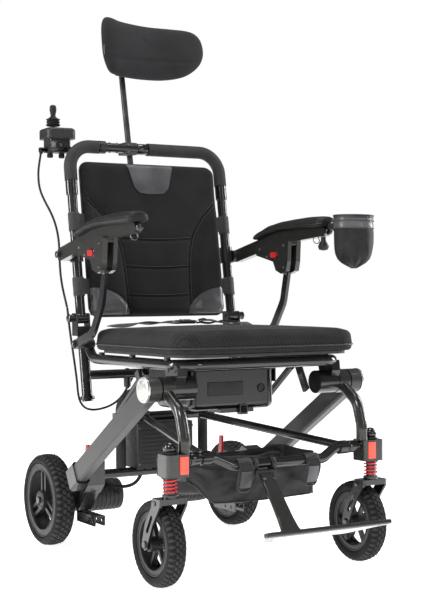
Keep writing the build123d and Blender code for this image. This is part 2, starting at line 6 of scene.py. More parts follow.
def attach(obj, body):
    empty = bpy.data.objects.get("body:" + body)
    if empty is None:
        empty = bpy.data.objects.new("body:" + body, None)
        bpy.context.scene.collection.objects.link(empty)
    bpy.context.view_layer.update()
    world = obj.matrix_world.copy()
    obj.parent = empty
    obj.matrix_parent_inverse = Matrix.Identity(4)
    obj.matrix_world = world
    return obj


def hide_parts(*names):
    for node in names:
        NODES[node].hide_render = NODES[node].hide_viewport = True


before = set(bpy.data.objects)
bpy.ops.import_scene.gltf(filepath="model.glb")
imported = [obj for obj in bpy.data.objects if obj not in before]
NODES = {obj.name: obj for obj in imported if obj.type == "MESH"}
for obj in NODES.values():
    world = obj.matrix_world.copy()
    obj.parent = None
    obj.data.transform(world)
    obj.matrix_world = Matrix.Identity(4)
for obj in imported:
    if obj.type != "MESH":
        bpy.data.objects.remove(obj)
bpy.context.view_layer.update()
sin, cos, pi, rad = math.sin, math.cos, math.pi, math.radians
SIDES = ((1, "left"), (-1, "right"))


# ------------------------------------------------------------------ camera
def make_camera():
    yaw, pitch, roll = rad(30.25), rad(-0.30), rad(-0.47)
    fwd = Vector((sin(yaw) * cos(pitch), cos(yaw) * cos(pitch), sin(pitch)))
    right = Vector((cos(yaw), -sin(yaw), 0))
    up = right.cross(fwd)
    cx = right * cos(roll) + up * sin(roll)
    cy = -right * sin(roll) + up * cos(roll)
    m = Matrix((cx, cy, -fwd)).transposed().to_4x4()
    m.translation = Vector((-1.483, -2.534, 0.587))
    cam = bpy.data.cameras.new("camera")
    cam.lens, cam.sensor_width, cam.sensor_fit = 77.18, 36, "AUTO"
    cam.clip_end = 100
    o = bpy.data.objects.new("camera", cam)
    o.matrix_world = m
    bpy.context.collection.objects.link(o)
    bpy.context.scene.camera = o


make_camera()


# ------------------------------------------------------------------ materials
class Mat:
    """A node material on one Principled shader."""

    def __init__(self, name, base, rough=0.5, **sockets):
        self.m = bpy.data.materials.new(name)
        self.m.use_nodes = True
        self.t = self.m.node_tree
        self.p = self.t.nodes["Principled BSDF"]
        self.set("Base Color", base)
        self.set("Roughness", rough)
        for k, v in sockets.items():
            self.set(k.replace("_", " "), v)
        self.tc = self.node("ShaderNodeTexCoord")
        self.normal = None
        self.base = base

    def node(self, kind, **props):
        n = self.t.nodes.new(kind)
        for k, v in props.items():
            setattr(n, k, v)
        return n

    def set(self, name, v):
        s = self.p.inputs[name]
        if hasattr(v, "__len__"):
            v = tuple(v) + (1,) * (len(s.default_value) - len(v))
        s.default_value = v

    def link(self, a, b):
        self.t.links.new(a, b)

    def coords(self, rot=(0, 0, 0), scale=(1, 1, 1)):
        mp = self.node("ShaderNodeMapping")
        mp.inputs["Rotation"].default_value = rot
        mp.inputs["Scale"].default_value = scale
        self.link(self.tc.outputs["Object"], mp.inputs["Vector"])
        return mp.outputs["Vector"]

    def noise(self, scale, detail=4, rot=(0, 0, 0), stretch=(1, 1, 1), rough=0.5):
        n = self.node("ShaderNodeTexNoise")
        n.inputs["Scale"].default_value = scale
        n.inputs["Detail"].default_value = detail
        n.inputs["Roughness"].default_value = rough
        self.link(self.coords(rot, stretch), n.inputs["Vector"])
        return n.outputs["Fac"]

    def voronoi(self, scale, randomness=1.0, rot=(0, 0, 0), stretch=(1, 1, 1)):
        n = self.node("ShaderNodeTexVoronoi")
        n.inputs["Scale"].default_value = scale
        n.inputs["Randomness"].default_value = randomness
        self.link(self.coords(rot, stretch), n.inputs["Vector"])
        return n.outputs["Distance"]

    def wave(self, scale, rot=(0, 0, 0), distortion=0.0, direction="X"):
        n = self.node("ShaderNodeTexWave", bands_direction=direction)
        n.inputs["Scale"].default_value = scale
        n.inputs["Distortion"].default_value = distortion
        self.link(self.coords(rot), n.inputs["Vector"])
        return n.outputs["Fac"]

    def ramp(self, fac, a, b, lo=0.0, hi=1.0):
        """fac from lo..hi mapped onto a..b; colours if a and b are colours."""
        if hasattr(a, "__len__"):
            r = self.node("ShaderNodeValToRGB")
            r.color_ramp.elements[0].position, r.color_ramp.elements[1].position = lo, hi
            r.color_ramp.elements[0].color = tuple(a) + (1,)
            r.color_ramp.elements[1].color = tuple(b) + (1,)
            self.link(fac, r.inputs["Fac"])
            return r.outputs["Color"]
        r = self.node("ShaderNodeMapRange")
        for k, v in (("From Min", lo), ("From Max", hi), ("To Min", a), ("To Max", b)):
            r.inputs[k].default_value = v
        self.link(fac, r.inputs["Value"])
        return r.outputs["Result"]

    def mult(self, a, b):
        n = self.node("ShaderNodeMath", operation="MULTIPLY")
        self.link(a, n.inputs[0])
        self.link(b, n.inputs[1])
        return n.outputs[0]

    def colour(self, fac, a, b, lo=0.3, hi=0.7):
        self.link(self.ramp(fac, a, b, lo, hi), self.p.inputs["Base Color"])
        return self

    def rough(self, fac, a, b, lo=0.3, hi=0.7):
        self.link(self.ramp(fac, a, b, lo, hi), self.p.inputs["Roughness"])
        return self

    def bump(self, fac, strength=0.3, distance=0.001):
        n = self.node("ShaderNodeBump")
        n.inputs["Strength"].default_value = strength
        n.inputs["Distance"].default_value = distance
        self.link(fac, n.inputs["Height"])
        if self.normal is not None:
            self.link(self.normal, n.inputs["Normal"])
        self.normal = n.outputs["Normal"]
        self.link(self.normal, self.p.inputs["Normal"])
        return self


def black_paint():
    m = Mat("black_paint", (0.012, 0.012, 0.013), 0.24, Coat_Weight=0.35, Coat_Roughness=0.12)
    m.colour(m.noise(9, 5), (0.009, 0.009, 0.010), (0.018, 0.018, 0.019))
    m.rough(m.noise(35, 6), 0.13, 0.24)
    return m.bump(m.noise(900, 2), 0.05, 0.0004).m


def carbon(name, lo, hi, rough, coat, scale=150):
    """Twill: two crossed sets of fine filaments chosen by a checker of tows."""
    m = Mat(name, hi, rough, Coat_Weight=coat, Coat_Roughness=0.08)
    check = m.node("ShaderNodeTexChecker")
    check.inputs["Scale"].default_value = scale
    m.link(m.coords((0.5, 0.62, 0.785)), check.inputs["Vector"])
    a, b = m.wave(scale * 1.2, (0.5, 0.62, 0.785)), m.wave(scale * 1.2, (0.5, 0.62, 2.356))
    mix = m.node("ShaderNodeMix", data_type="FLOAT")
    m.link(check.outputs["Fac"], mix.inputs[0])
    m.link(a, mix.inputs[2])
    m.link(b, mix.inputs[3])
    f = mix.outputs[0]
    m.colour(f, lo, hi, 0.05, 0.95)
    m.rough(f, rough * 1.25, rough * 0.8, 0.0, 1.0)
    return m.bump(f, 0.16, 0.0004).m


def mesh_fabric(name, dark, light, scale, rough=0.85, depth=0.5):
    """Spacer mesh: close rows of small holes over a soft knit, with a slow colour drift."""
    m = Mat(name, light, rough, Sheen_Weight=0.04, Sheen_Roughness=0.4)
    m.set("Specular IOR Level", 0.15)
    holes = m.voronoi(scale, 0.12, (0.35, 0.55, 0.785))
    m.colour(m.mult(m.ramp(holes, 0.15, 1.0, 0.12, 0.5), m.ramp(m.noise(14, 4), 0.75, 1.15, 0.3, 0.7)), dark, light, 0.1, 1.0)
    m.bump(holes, depth, 0.0012)
    return m.bump(m.noise(1400, 3), 0.25, 0.0004).m


def nylon():
    m = Mat("nylon", (0.02, 0.02, 0.022), 0.42, Sheen_Weight=0.1)
    m.colour(m.noise(22, 6), (0.008, 0.008, 0.009), (0.022, 0.022, 0.025))
    m.rough(m.noise(60, 4), 0.34, 0.6)
    weave = m.mult(m.wave(620, (0, 0, 0), 0, "X"), m.wave(620, (0, 0, 0), 0, "Z"))
    m.bump(m.noise(34, 5, stretch=(1, 1, 0.6)), 0.55, 0.006)
    return m.bump(weave, 0.3, 0.0003).m


def webbing():
    m = Mat("webbing", (0.018, 0.018, 0.019), 0.7, Sheen_Weight=0.15)
    rib = m.wave(420, (0, 0, 0.785), 0.4, "DIAGONAL")
    m.colour(rib, (0.008, 0.008, 0.009), (0.026, 0.026, 0.028), 0.1, 0.9)
    return m.bump(rib, 0.45, 0.0006).m


def foam(name="foam_grip", c=0.024):
    m = Mat(name, (c, c, c), 0.78)
    m.set("Specular IOR Level", 0.35)
    m.colour(m.noise(30, 6), (c * 0.75,) * 3, (c * 1.25,) * 3)
    m.bump(m.voronoi(750, 1.0), 0.25, 0.0008)
    return m.bump(m.noise(26, 3), 0.2, 0.002).m


def rubber(name, c=0.02, rough=0.62):
    m = Mat(name, (c, c, c), rough)
    m.set("Specular IOR Level", 0.2)
    m.colour(m.noise(40, 7), (c * 0.7,) * 3, (c * 1.35, c * 1.33, c * 1.28))
    m.rough(m.noise(25, 5), rough * 0.85, rough * 1.15)
    return m.bump(m.noise(1100, 4), 0.3, 0.0005).m


def moulded(name, c, rough, coat=0.0):
    m = Mat(name, (c, c, c * 1.04), rough, Coat_Weight=coat, Coat_Roughness=0.1)
    m.colour(m.noise(18, 5), (c * 0.8, c * 0.8, c * 0.84), (c * 1.2, c * 1.2, c * 1.24))
    m.rough(m.noise(80, 4), rough * 0.85, min(1.0, rough * 1.2))
    return m.bump(m.voronoi(1300, 1.0), 0.12 if rough < 0.35 else 0.35, 0.0003).m


def metal(name, c, rough, direction="X", aniso=0.4):
    m = Mat(name, c, rough, Metallic=0.92, Anisotropic=aniso)
    brush = m.noise(160, 6, stretch=(0.03, 1, 1) if direction == "X" else (1, 1, 0.03))
    m.colour(brush, tuple(0.82 * x for x in c), tuple(min(1.0, 1.12 * x) for x in c))
    m.rough(brush, rough * 0.8, rough * 1.3)
    return m.bump(brush, 0.12, 0.0003).m


def red(name, c, rough=0.3, coat=0.4):
    m = Mat(name, c, rough, Coat_Weight=coat)
    m.colour(m.noise(30, 4), tuple(0.85 * x for x in c), tuple(min(1, 1.1 * x) for x in c))
    m.rough(m.noise(90, 4), rough * 0.8, rough * 1.3)
    return m.bump(m.noise(700, 3), 0.08, 0.0004).m


def reflector():
    m = Mat("reflector_red", (0.92, 0.075, 0.03), 0.28, Coat_Weight=0.7)
    cells = m.voronoi(420, 0.0, (0, 0, 0.0))
    m.colour(cells, (1.0, 0.11, 0.05), (0.78, 0.04, 0.018), 0.15, 0.6)
    # Painted glow: the red emission makes the reflector give off light though it is no lamp.
    m.set("Emission Color", (1.0, 0.06, 0.02))
    m.set("Emission Strength", 0.45)
    return m.bump(cells, 0.35, 0.0006).m


def patch():
    """Smooth coated fabric with a soft grey sheen."""
    m = Mat("patch_grey", (0.03, 0.03, 0.033), 0.36, Coat_Weight=0.15, Sheen_Weight=0.1)
    m.colour(m.noise(9, 4), (0.022, 0.022, 0.025), (0.105, 0.105, 0.115))
    m.rough(m.noise(20, 4), 0.3, 0.48)
    m.bump(m.noise(30, 3), 0.4, 0.004)
    return m.bump(m.wave(700, (0, 0, 0.785), 0.3, "DIAGONAL"), 0.12, 0.0003).m


def net():
    """Open net: knotted threads with holes between them."""
    m = Mat("mesh_net", (0.012, 0.012, 0.012), 0.6)
    m.set("Specular IOR Level", 0.25)
    v = m.voronoi(330, 0.1, (0.3, 0.6, 0.785))
    m.colour(m.noise(60, 5), (0.004, 0.004, 0.004), (0.02, 0.02, 0.02), 0.2, 0.7)
    alpha = m.ramp(v, 0.45, 1.0, 0.18, 0.30)
    m.link(alpha, m.p.inputs["Alpha"])
    return m.bump(v, 0.5, 0.0012).m


K = dict(
    black_paint=black_paint(),
    carbon_satin=carbon("carbon_satin", (0.018, 0.018, 0.018), (0.040, 0.040, 0.038), 0.36, 0.1, 120),
    carbon_gloss=carbon("carbon_gloss", (0.004, 0.004, 0.004), (0.030, 0.029, 0.026), 0.26, 0.5, 150),
    cushion_mesh=mesh_fabric("cushion_mesh", (0.0008, 0.0008, 0.0008), (0.024, 0.024, 0.025), 190),
    back_mesh=mesh_fabric("back_mesh", (0.0008, 0.0008, 0.0008), (0.016, 0.016, 0.017), 230),
    headrest_fabric=mesh_fabric("headrest_fabric", (0.004, 0.004, 0.004), (0.022, 0.022, 0.024), 650, 0.78, 0.3),
    nylon=nylon(), webbing=webbing(), mesh_net=net(), foam_grip=foam(),
    rubber_black=rubber("rubber_black", 0.012, 0.55), tyre_rubber=rubber("tyre_rubber", 0.009, 0.7),
    tread=rubber("tyre_tread", 0.036, 0.8),
    rim_grey=moulded("rim_grey", 0.015, 0.42), cap_silver=metal("cap_silver", (0.66, 0.66, 0.63), 0.36),
    steel_dark=metal("steel_dark", (0.13, 0.13, 0.135), 0.3, "Z"), chrome=metal("bright_steel", (0.7, 0.7, 0.7), 0.16),
    reflector_red=reflector(), spring_red=red("spring_red", (0.80, 0.012, 0.018)),
    lever_red=red("lever_red", (0.42, 0.012, 0.016), 0.36), plastic_black=moulded("plastic_black", 0.009, 0.45),
    plastic_gloss=moulded("plastic_gloss", 0.007, 0.2, 0.5), board=moulded("board", 0.02, 0.6),
    cable_black=rubber("cable_black", 0.014, 0.45), patch=patch(), thread=webbing(),
    grey_clamp=moulded("clamp_grey", 0.035, 0.55), pale_pad=moulded("pale_pad", 0.62, 0.6), piping=moulded("piping_black", 0.016, 0.42),
)
K["thread"].name = "thread_black"


# ------------------------------------------------------------------ mesh building
def unit(v):
    v = np.asarray(v, float)
    return v / np.linalg.norm(v)


def basis(axis, hint=None):
    a = unit(axis)
    h = np.array(hint if hint is not None else ((0, 0, 1) if abs(a[2]) < 0.9 else (0, 1, 0)), float)
    u = unit(h - a * h.dot(a))
    return a, u, np.cross(a, u)


class Geo:
    """Collects vertices and faces of several shapes into one object."""

    def __init__(self):
        self.v, self.f, self.m, self.s = [], [], [], []

    def add(self, verts, faces, mi=0, smooth=True):
        off = len(self.v)
        self.v += [tuple(map(float, p)) for p in verts]
        for f in faces:
            self.f.append([i + off for i in f])
            self.m.append(mi)
            self.s.append(smooth)
        return self

    def lathe(self, prof, origin, axis, mi=0, n=56, smooth=True, a0=0.0, a1=2 * pi):
        """prof is (distance along axis, radius) from one end to the other."""
        a, u, w = basis(axis)
        o = np.array(origin, float)
        full = abs(a1 - a0 - 2 * pi) < 1e-6
        cols = n if full else n + 1
        verts = []
        for h, r in prof:
            for k in range(cols):
                t = a0 + (a1 - a0) * k / n
                verts.append(o + a * h + (u * cos(t) + w * sin(t)) * max(r, 1e-5))
        faces = []
        for i in range(len(prof) - 1):
            for k in range(n):
                k2 = (k + 1) % cols
                faces.append((i * cols + k, i * cols + k2, (i + 1) * cols + k2, (i + 1) * cols + k))
        return self.add(verts, faces, mi, smooth)

    def loft(self, rings, mi=0, closed=True, caps=True, smooth=True):
        n = len(rings[0])
        verts = [p for r in rings for p in r]
        faces = []
        for i in range(len(rings) - 1):
            for k in range(n if closed else n - 1):
                k2 = (k + 1) % n
                faces.append((i * n + k, i * n + k2, (i + 1) * n + k2, (i + 1) * n + k))
        if caps:
            faces.append(tuple(range(n - 1, -1, -1)))
            faces.append(tuple(range((len(rings) - 1) * n, len(rings) * n)))
        return self.add(verts, faces, mi, smooth)

    def tube(self, pts, r, mi=0, n=12, closed=False, caps=True):
        """Round tube along points; r is a number or one per point."""
        P = [np.array(p, float) for p in pts]
        R = [r] * len(P) if not hasattr(r, "__len__") else r
        N = len(P)
        T = []
        for i in range(N):
            a = P[(i - 1) % N] if closed or i else P[0]
            b = P[(i + 1) % N] if closed or i < N - 1 else P[-1]
            T.append(unit(b - a))
        _, u, _ = basis(T[0])
        rings = []
        for i in range(N):
            u = unit(u - T[i] * u.dot(T[i]))
            w = np.cross(T[i], u)
            rings.append([P[i] + (u * cos(t) + w * sin(t)) * R[i] for t in np.arange(n) * 2 * pi / n])
        if closed:
            rings.append(rings[0])
        return self.loft(rings, mi, True, caps and not closed)

    def ribbon(self, pts, wide, thick, across, mi=0):
        """Flat strap along points, with rounded edges; across is its width direction."""
        P = [np.array(p, float) for p in pts]
        N = len(P)
        A = [unit(a) for a in (across if hasattr(across[0], "__len__") else [across] * N)]
        W = [wide] * N if not hasattr(wide, "__len__") else wide
        rings = []
        for i in range(N):
            t = unit(P[min(i + 1, N - 1)] - P[max(i - 1, 0)])
            a = unit(A[i] - t * A[i].dot(t))
            b = np.cross(t, a)
            h, k = W[i] / 2, thick / 2
            rings.append([P[i] + a * x * h + b * y * k for x, y in
                          ((-1, 0), (-0.97, -0.8), (-0.9, -1), (0, -1), (0.9, -1), (0.97, -0.8),
                           (1, 0), (0.97, 0.8), (0.9, 1), (0, 1), (-0.9, 1), (-0.97, 0.8))])
        return self.loft(rings, mi)

    def rbox(self, centre, size, r=0.003, mi=0, axes=None, seg=3):
        """Box with rounded edges, turned by axes (three direction vectors) if given."""
        bm = bmesh.new()
        bmesh.ops.create_cube(bm, size=1)
        for v in bm.verts:
            v.co = Vector([c * s for c, s in zip(v.co, size)])
        bmesh.ops.bevel(bm, geom=bm.edges[:], offset=min(r, 0.45 * min(size)), segments=seg, profile=0.6, affect="EDGES")
        X = [unit(a) for a in axes] if axes is not None else [np.eye(3)[i] for i in range(3)]
        c = np.array(centre, float)
        verts = [c + X[0] * v.co[0] + X[1] * v.co[1] + X[2] * v.co[2] for v in bm.verts]
        faces = [[v.index for v in f.verts] for f in bm.faces]
        bm.free()
        return self.add(verts, faces, mi, True)

    def prism(self, outline, place, h0, h1, bevel=0.0, mi=0, seg=2):
        """Outline (2-D) swept from h0 to h1; place(x, y, h) gives the point in space."""
        bm = bmesh.new()
        low = [bm.verts.new((x, y, h0)) for x, y in outline]
        bm.faces.new(low)
        out = bmesh.ops.extrude_face_region(bm, geom=bm.faces[:])
        for v in [g for g in out["geom"] if isinstance(g, bmesh.types.BMVert)]:
            v.co.z = h1
        bmesh.ops.recalc_face_normals(bm, faces=bm.faces[:])
        if bevel:
            rim = [e for e in bm.edges if abs(e.verts[0].co.z - e.verts[1].co.z) < 1e-7]
            bmesh.ops.bevel(bm, geom=rim, offset=bevel, segments=seg, profile=0.5, affect="EDGES")
        bm.verts.index_update()
        verts = [place(*v.co) for v in bm.verts]
        faces = [[v.index for v in f.verts] for f in bm.faces]
        bm.free()
        return self.add(verts, faces, mi, False)

    def obj(self, name, body, mats, slot=None, replaces=(), auto=35, sub=0, weld=True):
        me = bpy.data.meshes.new(name)
        me.from_pydata(self.v, [], self.f)
        for m in (mats if isinstance(mats, (list, tuple)) else [mats]):
            me.materials.append(m)
        me.polygons.foreach_set("material_index", self.m)
        me.polygons.foreach_set("use_smooth", self.s)
        bm = bmesh.new()
        bm.from_mesh(me)
        if weld:
            bmesh.ops.remove_doubles(bm, verts=bm.verts[:], dist=1e-6)
        bmesh.ops.recalc_face_normals(bm, faces=bm.faces[:])
        bm.to_mesh(me)
        bm.free()
        o = bpy.data.objects.new(name, me)
        bpy.context.collection.objects.link(o)
        if auto:
            bpy.context.view_layer.objects.active = o
            for p in me.polygons:
                p.use_smooth = True
            me.set_sharp_from_angle(angle=rad(auto))
        if sub:
            s = o.modifiers.new("subdivide", "SUBSURF")
            s.levels = s.render_levels = sub
        if body:
            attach(o, body)
        if replaces:
            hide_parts(*replaces)
        return o


def curve(name, pts, r, mat, body, order=3):
    """A smooth NURBS lead through its route's points, in metres."""
    cu = bpy.data.curves.new(name, "CURVE")
    cu.dimensions = "3D"
    cu.bevel_depth, cu.bevel_resolution, cu.resolution_u = r, 4, 10
    cu.use_fill_caps = True
    sp = cu.splines.new("NURBS")
    sp.points.add(len(pts) - 1)
    for p, c in zip(sp.points, pts):
        p.co = (*c, 1)
    sp.order_u = order
    sp.use_endpoint_u = True
    cu.materials.append(mat)
    o = bpy.data.objects.new(name, cu)
    bpy.context.collection.objects.link(o)
    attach(o, body)
    return o


def dress(mat, *nodes):
    for n in nodes:
        o = NODES[n]
        if not o.material_slots:
            o.data.materials.append(None)
        for s in o.material_slots:
            s.link = "OBJECT"
            s.material = mat


# ------------------------------------------------------------------ joystick lead (control points as in the CAD)
UP = [(-.258, .372, .938), (-.266, .368, .905), (-.271, .360, .876), (-.272, .349, .846), (-.264, .338, .818),
      (-.252, .328, .790), (-.243, .321, .760), (-.239, .314, .725), (-.240, .309, .690), (-.2415, .303, .655),
      (-.242, .293, .622), (-.241, .280, .592), (-.2388, .270, .566)]
LOW = [(-.2386, .2696, .5648), (-.2384, .265, .545), (-.2375, .2615, .522), (-.235, .258, .492), (-.231, .255, .458),
       (-.227, .253, .424), (-.224, .250, .392), (-.2235, .247, .366), (-.219, .245, .344), (-.206, .245, .330),
       (-.188, .246, .325), (-.168, .250, .3255), (-.148, .257, .328), (-.130, .265, .332), (-.112, .272, .339),
       (-.097, .275, .350), (-.086, .272, .366), (-.0805, .263, .384), (-.080, .250, .3956)]
lead_up = curve("joystick_lead_upper", UP, 0.0026, K["cable_black"], "backrest")
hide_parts("joystick_cable_upper")
lead_low = curve("joystick_lead_lower", LOW, 0.0026, K["cable_black"], "frame")
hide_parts("joystick_cable_lower")

# ------------------------------------------------------------------ carried-over CAD nodes
dress(K["black_paint"], "seat_frame", "front_cross_tube", "frame_struts", "motor_brackets", "rear_cross_tubes", "back_frame")
dress(K["board"], "seat_pan")
dress(K["carbon_gloss"], "front_arms", "caster_blocks")
dress(K["cap_silver"], "hub_pins")
dress(K["reflector_red"], "reflectors")
dress(K["plastic_black"], "battery_tray", "drive_motors", "controller_box", "joystick_pod", "cup_clamp_knob")
dress(K["plastic_gloss"], "battery")
dress(K["carbon_satin"], "rear_legs")
dress(K["foam_grip"], "foam_arch", "push_grips")
dress(K["steel_dark"], "joystick_gimbal", "headrest_post")
dress(K["rubber_black"], "joystick_stick")
for s, t in SIDES:
    dress(K["rim_grey"], f"drive_rim_{t}", f"caster_rim_{t}")
    dress(K["lever_red"], f"freewheel_lever_{t}", f"arm_release_{t}")
    dress(K["plastic_gloss"], f"caster_stem_{t}")
    dress(K["spring_red"], f"caster_spring_{t}")
    dress(K["black_paint"], f"caster_fork_{t}", f"arm_strut_{t}")
    dress(K["plastic_black"], f"armrest_pivot_{t}")
    dress(K["carbon_gloss"], f"armrest_{t}")


# ------------------------------------------------------------------ tyres
def tyre(tag, node, body, c, R, half, prof, nb, top, row, shoulder, extra):
    """Carcass turned about the axle, with two rows of centre blocks and a row of knobs on each shoulder."""
    g = Geo()
    g.lathe([(x / 1000, r / 1000) for x, r in prof], c, (1, 0, 0), 0, 112)
    C = np.array(c, float)

    def block(x0, x1, r0a, r0b, r1a, r1b, th, dth, skew=0.0):
        """Tread block between axial x0..x1; r0 at its foot, r1 at its face (at x0 and x1)."""
        pts = []
        for rr, k in (((r0a, r0b), 1.0), ((r1a, r1b), 0.80)):
            for x, r, sk in ((x0, rr[0], -skew), (x1, rr[1], skew)):
                xm = (x0 + x1) / 2 + (x - (x0 + x1) / 2) * (0.5 + 0.5 * k)
                for e in (-1, 1):
                    t = th + sk + e * dth * k / 2
                    pts.append(C + np.array((xm, r * cos(t), r * sin(t))) / np.array((1000, 1000, 1000)))
        g.add(pts, [(0, 1, 3, 2), (4, 6, 7, 5), (0, 4, 5, 1), (2, 3, 7, 6), (0, 2, 6, 4), (1, 5, 7, 3)], 1, False)

    st = 2 * pi / nb
    for i in range(nb):
        th = i * st
        for sd in (-1, 1):
            off = st / 2 if sd > 0 else 0
            block(sd * row[0], sd * row[1], row[2], row[2] - 0.6, top, top - 0.5, th + off, st * 0.66, 0.012 * sd)
            block(sd * shoulder[0], sd * shoulder[1], shoulder[2], shoulder[3], shoulder[4], shoulder[5], th + off + st / 2, st * 0.56)
            block(sd * (row[1] + 0.8), sd * (shoulder[0] - 0.4), row[2] - 1.4, shoulder[2] - 0.2, top - 1.7, shoulder[4] - 0.4, th + off + st / 2, st * 0.34)
    g.obj(f"tyre_{tag}", body, [K["tyre_rubber"], K["tread"]], "tyre_rubber", [node], auto=40)


DRIVE_PROF = [(-20, 87), (-21.4, 88.6), (-22.6, 89.2), (-23.4, 91), (-24.4, 94), (-24.6, 97), (-23, 100.4), (-19.5, 103.2),
              (-14, 104.8), (-7, 105.6), (0, 105.8)]
DRIVE_PROF = DRIVE_PROF + [(-x, r) for x, r in reversed(DRIVE_PROF[:-1])]
CAST_PROF = [(-15, 66), (-16.6, 67.4), (-18, 68), (-19.4, 71), (-20.6, 75), (-20.2, 79), (-18, 82.6), (-14, 85.2), (-8, 86.6), (0, 87.1)]
CAST_PROF = CAST_PROF + [(-x, r) for x, r in reversed(CAST_PROF[:-1])]
for s, t in SIDES:
    dc = (s * 0.255, 0.350, 0.108)
    tyre(f"drive_{t}", f"drive_tire_{t}", f"drive_wheel_{t}", dc, 108, 25, DRIVE_PROF, 44, 108.0, (1.0, 8.4, 105.4),
         (15.5, 23.6, 103.6, 98.6, 106.6, 100.2), None)
    cc = (s * 0.249, -0.198, 0.089)
    tyre(f"caster_{t}", f"caster_tire_{t}", f"caster_wheel_{t}", cc, 89, 21, CAST_PROF, 42, 88.9, (0.8, 6.6, 86.8),
         (12.2, 19.4, 85.0, 80.4, 87.2, 82.0), None)
    # wheel trim: rim lips, hub cover with screws, valve
    for body, c, out, rr, hub, nm in ((f"drive_wheel_{t}", dc, s * 20.3, 87.0, 22.5, "drive"), (f"caster_wheel_{t}", cc, s * 15.4, 65.5, 13.5, "caster")):
        g = Geo()
        k = rr / 87.0
        for sg in (-1, 1):
            o = sg * abs(out) / 1000
            d = sg
            g.lathe([(0, (rr - 0.2) / 1000), (d * 1.1e-3, (rr - 0.8) / 1000), (d * 1.3e-3, (rr - 2.2) / 1000), (d * 0.4e-3, (rr - 3.6) / 1000), (0, (rr - 3.8) / 1000)],
                    (c[0] + o, c[1], c[2]), (1, 0, 0), 0, 96)
            g.lathe([(0, (rr - 14.6 * k) / 1000), (d * 0.9e-3, (rr - 15.2 * k) / 1000), (d * 0.9e-3, (rr - 16.4 * k) / 1000), (-d * 3.0e-3, (rr - 17.3 * k) / 1000)],
                    (c[0] + o, c[1], c[2]), (1, 0, 0), 0, 96)
            hx = c[0] + sg * (0.0222 if nm == "drive" else 0.0232)
            g.lathe([(0, hub * 0.98 / 1000), (d * 1.6e-3, hub * 0.9 / 1000), (d * 2.2e-3, hub * 0.55 / 1000), (d * 1.2e-3, hub * 0.5 / 1000), (d * 1.2e-3, 0)],
                    (hx, c[1], c[2]), (1, 0, 0), 0, 48)
            for j in range(6 if nm == "drive" else 0):
                a = j * pi / 3
                g.lathe([(0, 2.2e-3), (d * 1.6e-3, 2.2e-3), (d * 2.2e-3, 1.6e-3), (d * 1.4e-3, 1.1e-3), (d * 1.4e-3, 0)],
                        (hx + d * 0.0014, c[1] + 0.0165 * cos(a), c[2] + 0.0165 * sin(a)), (1, 0, 0), 1, 12)
        vx = c[0]
        va = 0.9
        vr = (rr - 12 * k) / 1000
        g.tube([(vx, c[1] + (vr - e) * cos(va), c[2] + (vr - e) * sin(va)) for e in (0, 0.006, 0.012)], [0.0028, 0.0028, 0.0022], 1, 10)
        g.obj(f"wheel_trim_{nm}_{t}", body, [K["rim_grey"], K["steel_dark"]], "rim_grey")


# ------------------------------------------------------------------ padded shapes
def smoothstep(a, b, x):
    t = min(1.0, max(0.0, (x - a) / (b - a)))
    return t * t * (3 - 2 * t)


def seg_dist(x, y, line):
    d = 1e9
    for (ax, ay), (bx, by) in zip(line, line[1:]):
        ux, uy = bx - ax, by - ay
        q = max(0.0, min(1.0, ((x - ax) * ux + (y - ay) * uy) / (ux * ux + uy * uy)))
        d = min(d, math.hypot(x - ax - ux * q, y - ay - uy * q))
    return d


def edge_dist(x, y, hw, hh, r):
    """Distance inside a rounded rectangle's outline."""
    qx, qy = abs(x) - (hw - r), abs(y) - (hh - r)
    if qx > 0 and qy > 0:
        return r - math.hypot(qx, qy)
    return min(hw - abs(x), hh - abs(y))


def rr_point(a, b, hw, hh, r):
    """Square a, b in -1..1 onto a rounded rectangle."""
    x, y = a * hw, b * hh
    qx, qy = abs(x) - (hw - r), abs(y) - (hh - r)
    if qx > 0 and qy > 0:
        k = max(qx, qy) / math.hypot(qx, qy)
        x = math.copysign(hw - r + qx * k, x)
        y = math.copysign(hh - r + qy * k, y)
    return x, y


def pillow(hw, hh, r, front, back, place, n=72, m=72, warp=None):
    """Closed pad over a rounded rectangle; front and back give heights over the plane from (x, y, edge distance)."""
    g = Geo()
    A = [sin(pi / 2 * (2 * i / n - 1)) * 0.55 + (2 * i / n - 1) * 0.45 for i in range(n + 1)]
    B = [sin(pi / 2 * (2 * j / m - 1)) * 0.55 + (2 * j / m - 1) * 0.45 for j in range(m + 1)]
    rim = {}
    verts, idx = [], [{}, {}]
    for side, fn in enumerate((front, back)):
        for i, a in enumerate(A):
            for j, b in enumerate(B):
                edge = i in (0, n) or j in (0, m)
                if edge and (i, j) in rim:
                    idx[side][i, j] = rim[i, j]
                    continue
                x, y = rr_point(a, b, hw, hh, r)
                d = max(0.0, edge_dist(x, y, hw, hh, r))
                h = fn(x, y, d)
                if warp:
                    x, y = warp(x, y)
                idx[side][i, j] = len(verts)
                if edge:
                    rim[i, j] = len(verts)
                verts.append(place(x, y, h))
    faces = []
    for side in (0, 1):
        q = idx[side]
        for i in range(n):
            for j in range(m):
                f = (q[i, j], q[i + 1, j], q[i + 1, j + 1], q[i, j + 1])
                faces.append(f if side == 0 else f[::-1])
    g.add(verts, faces)
    return g


def rim_profile(d, R, p=2.2):
    q = min(1.0, d / R)
    return (1 - (1 - q) ** p) ** (1 / p)


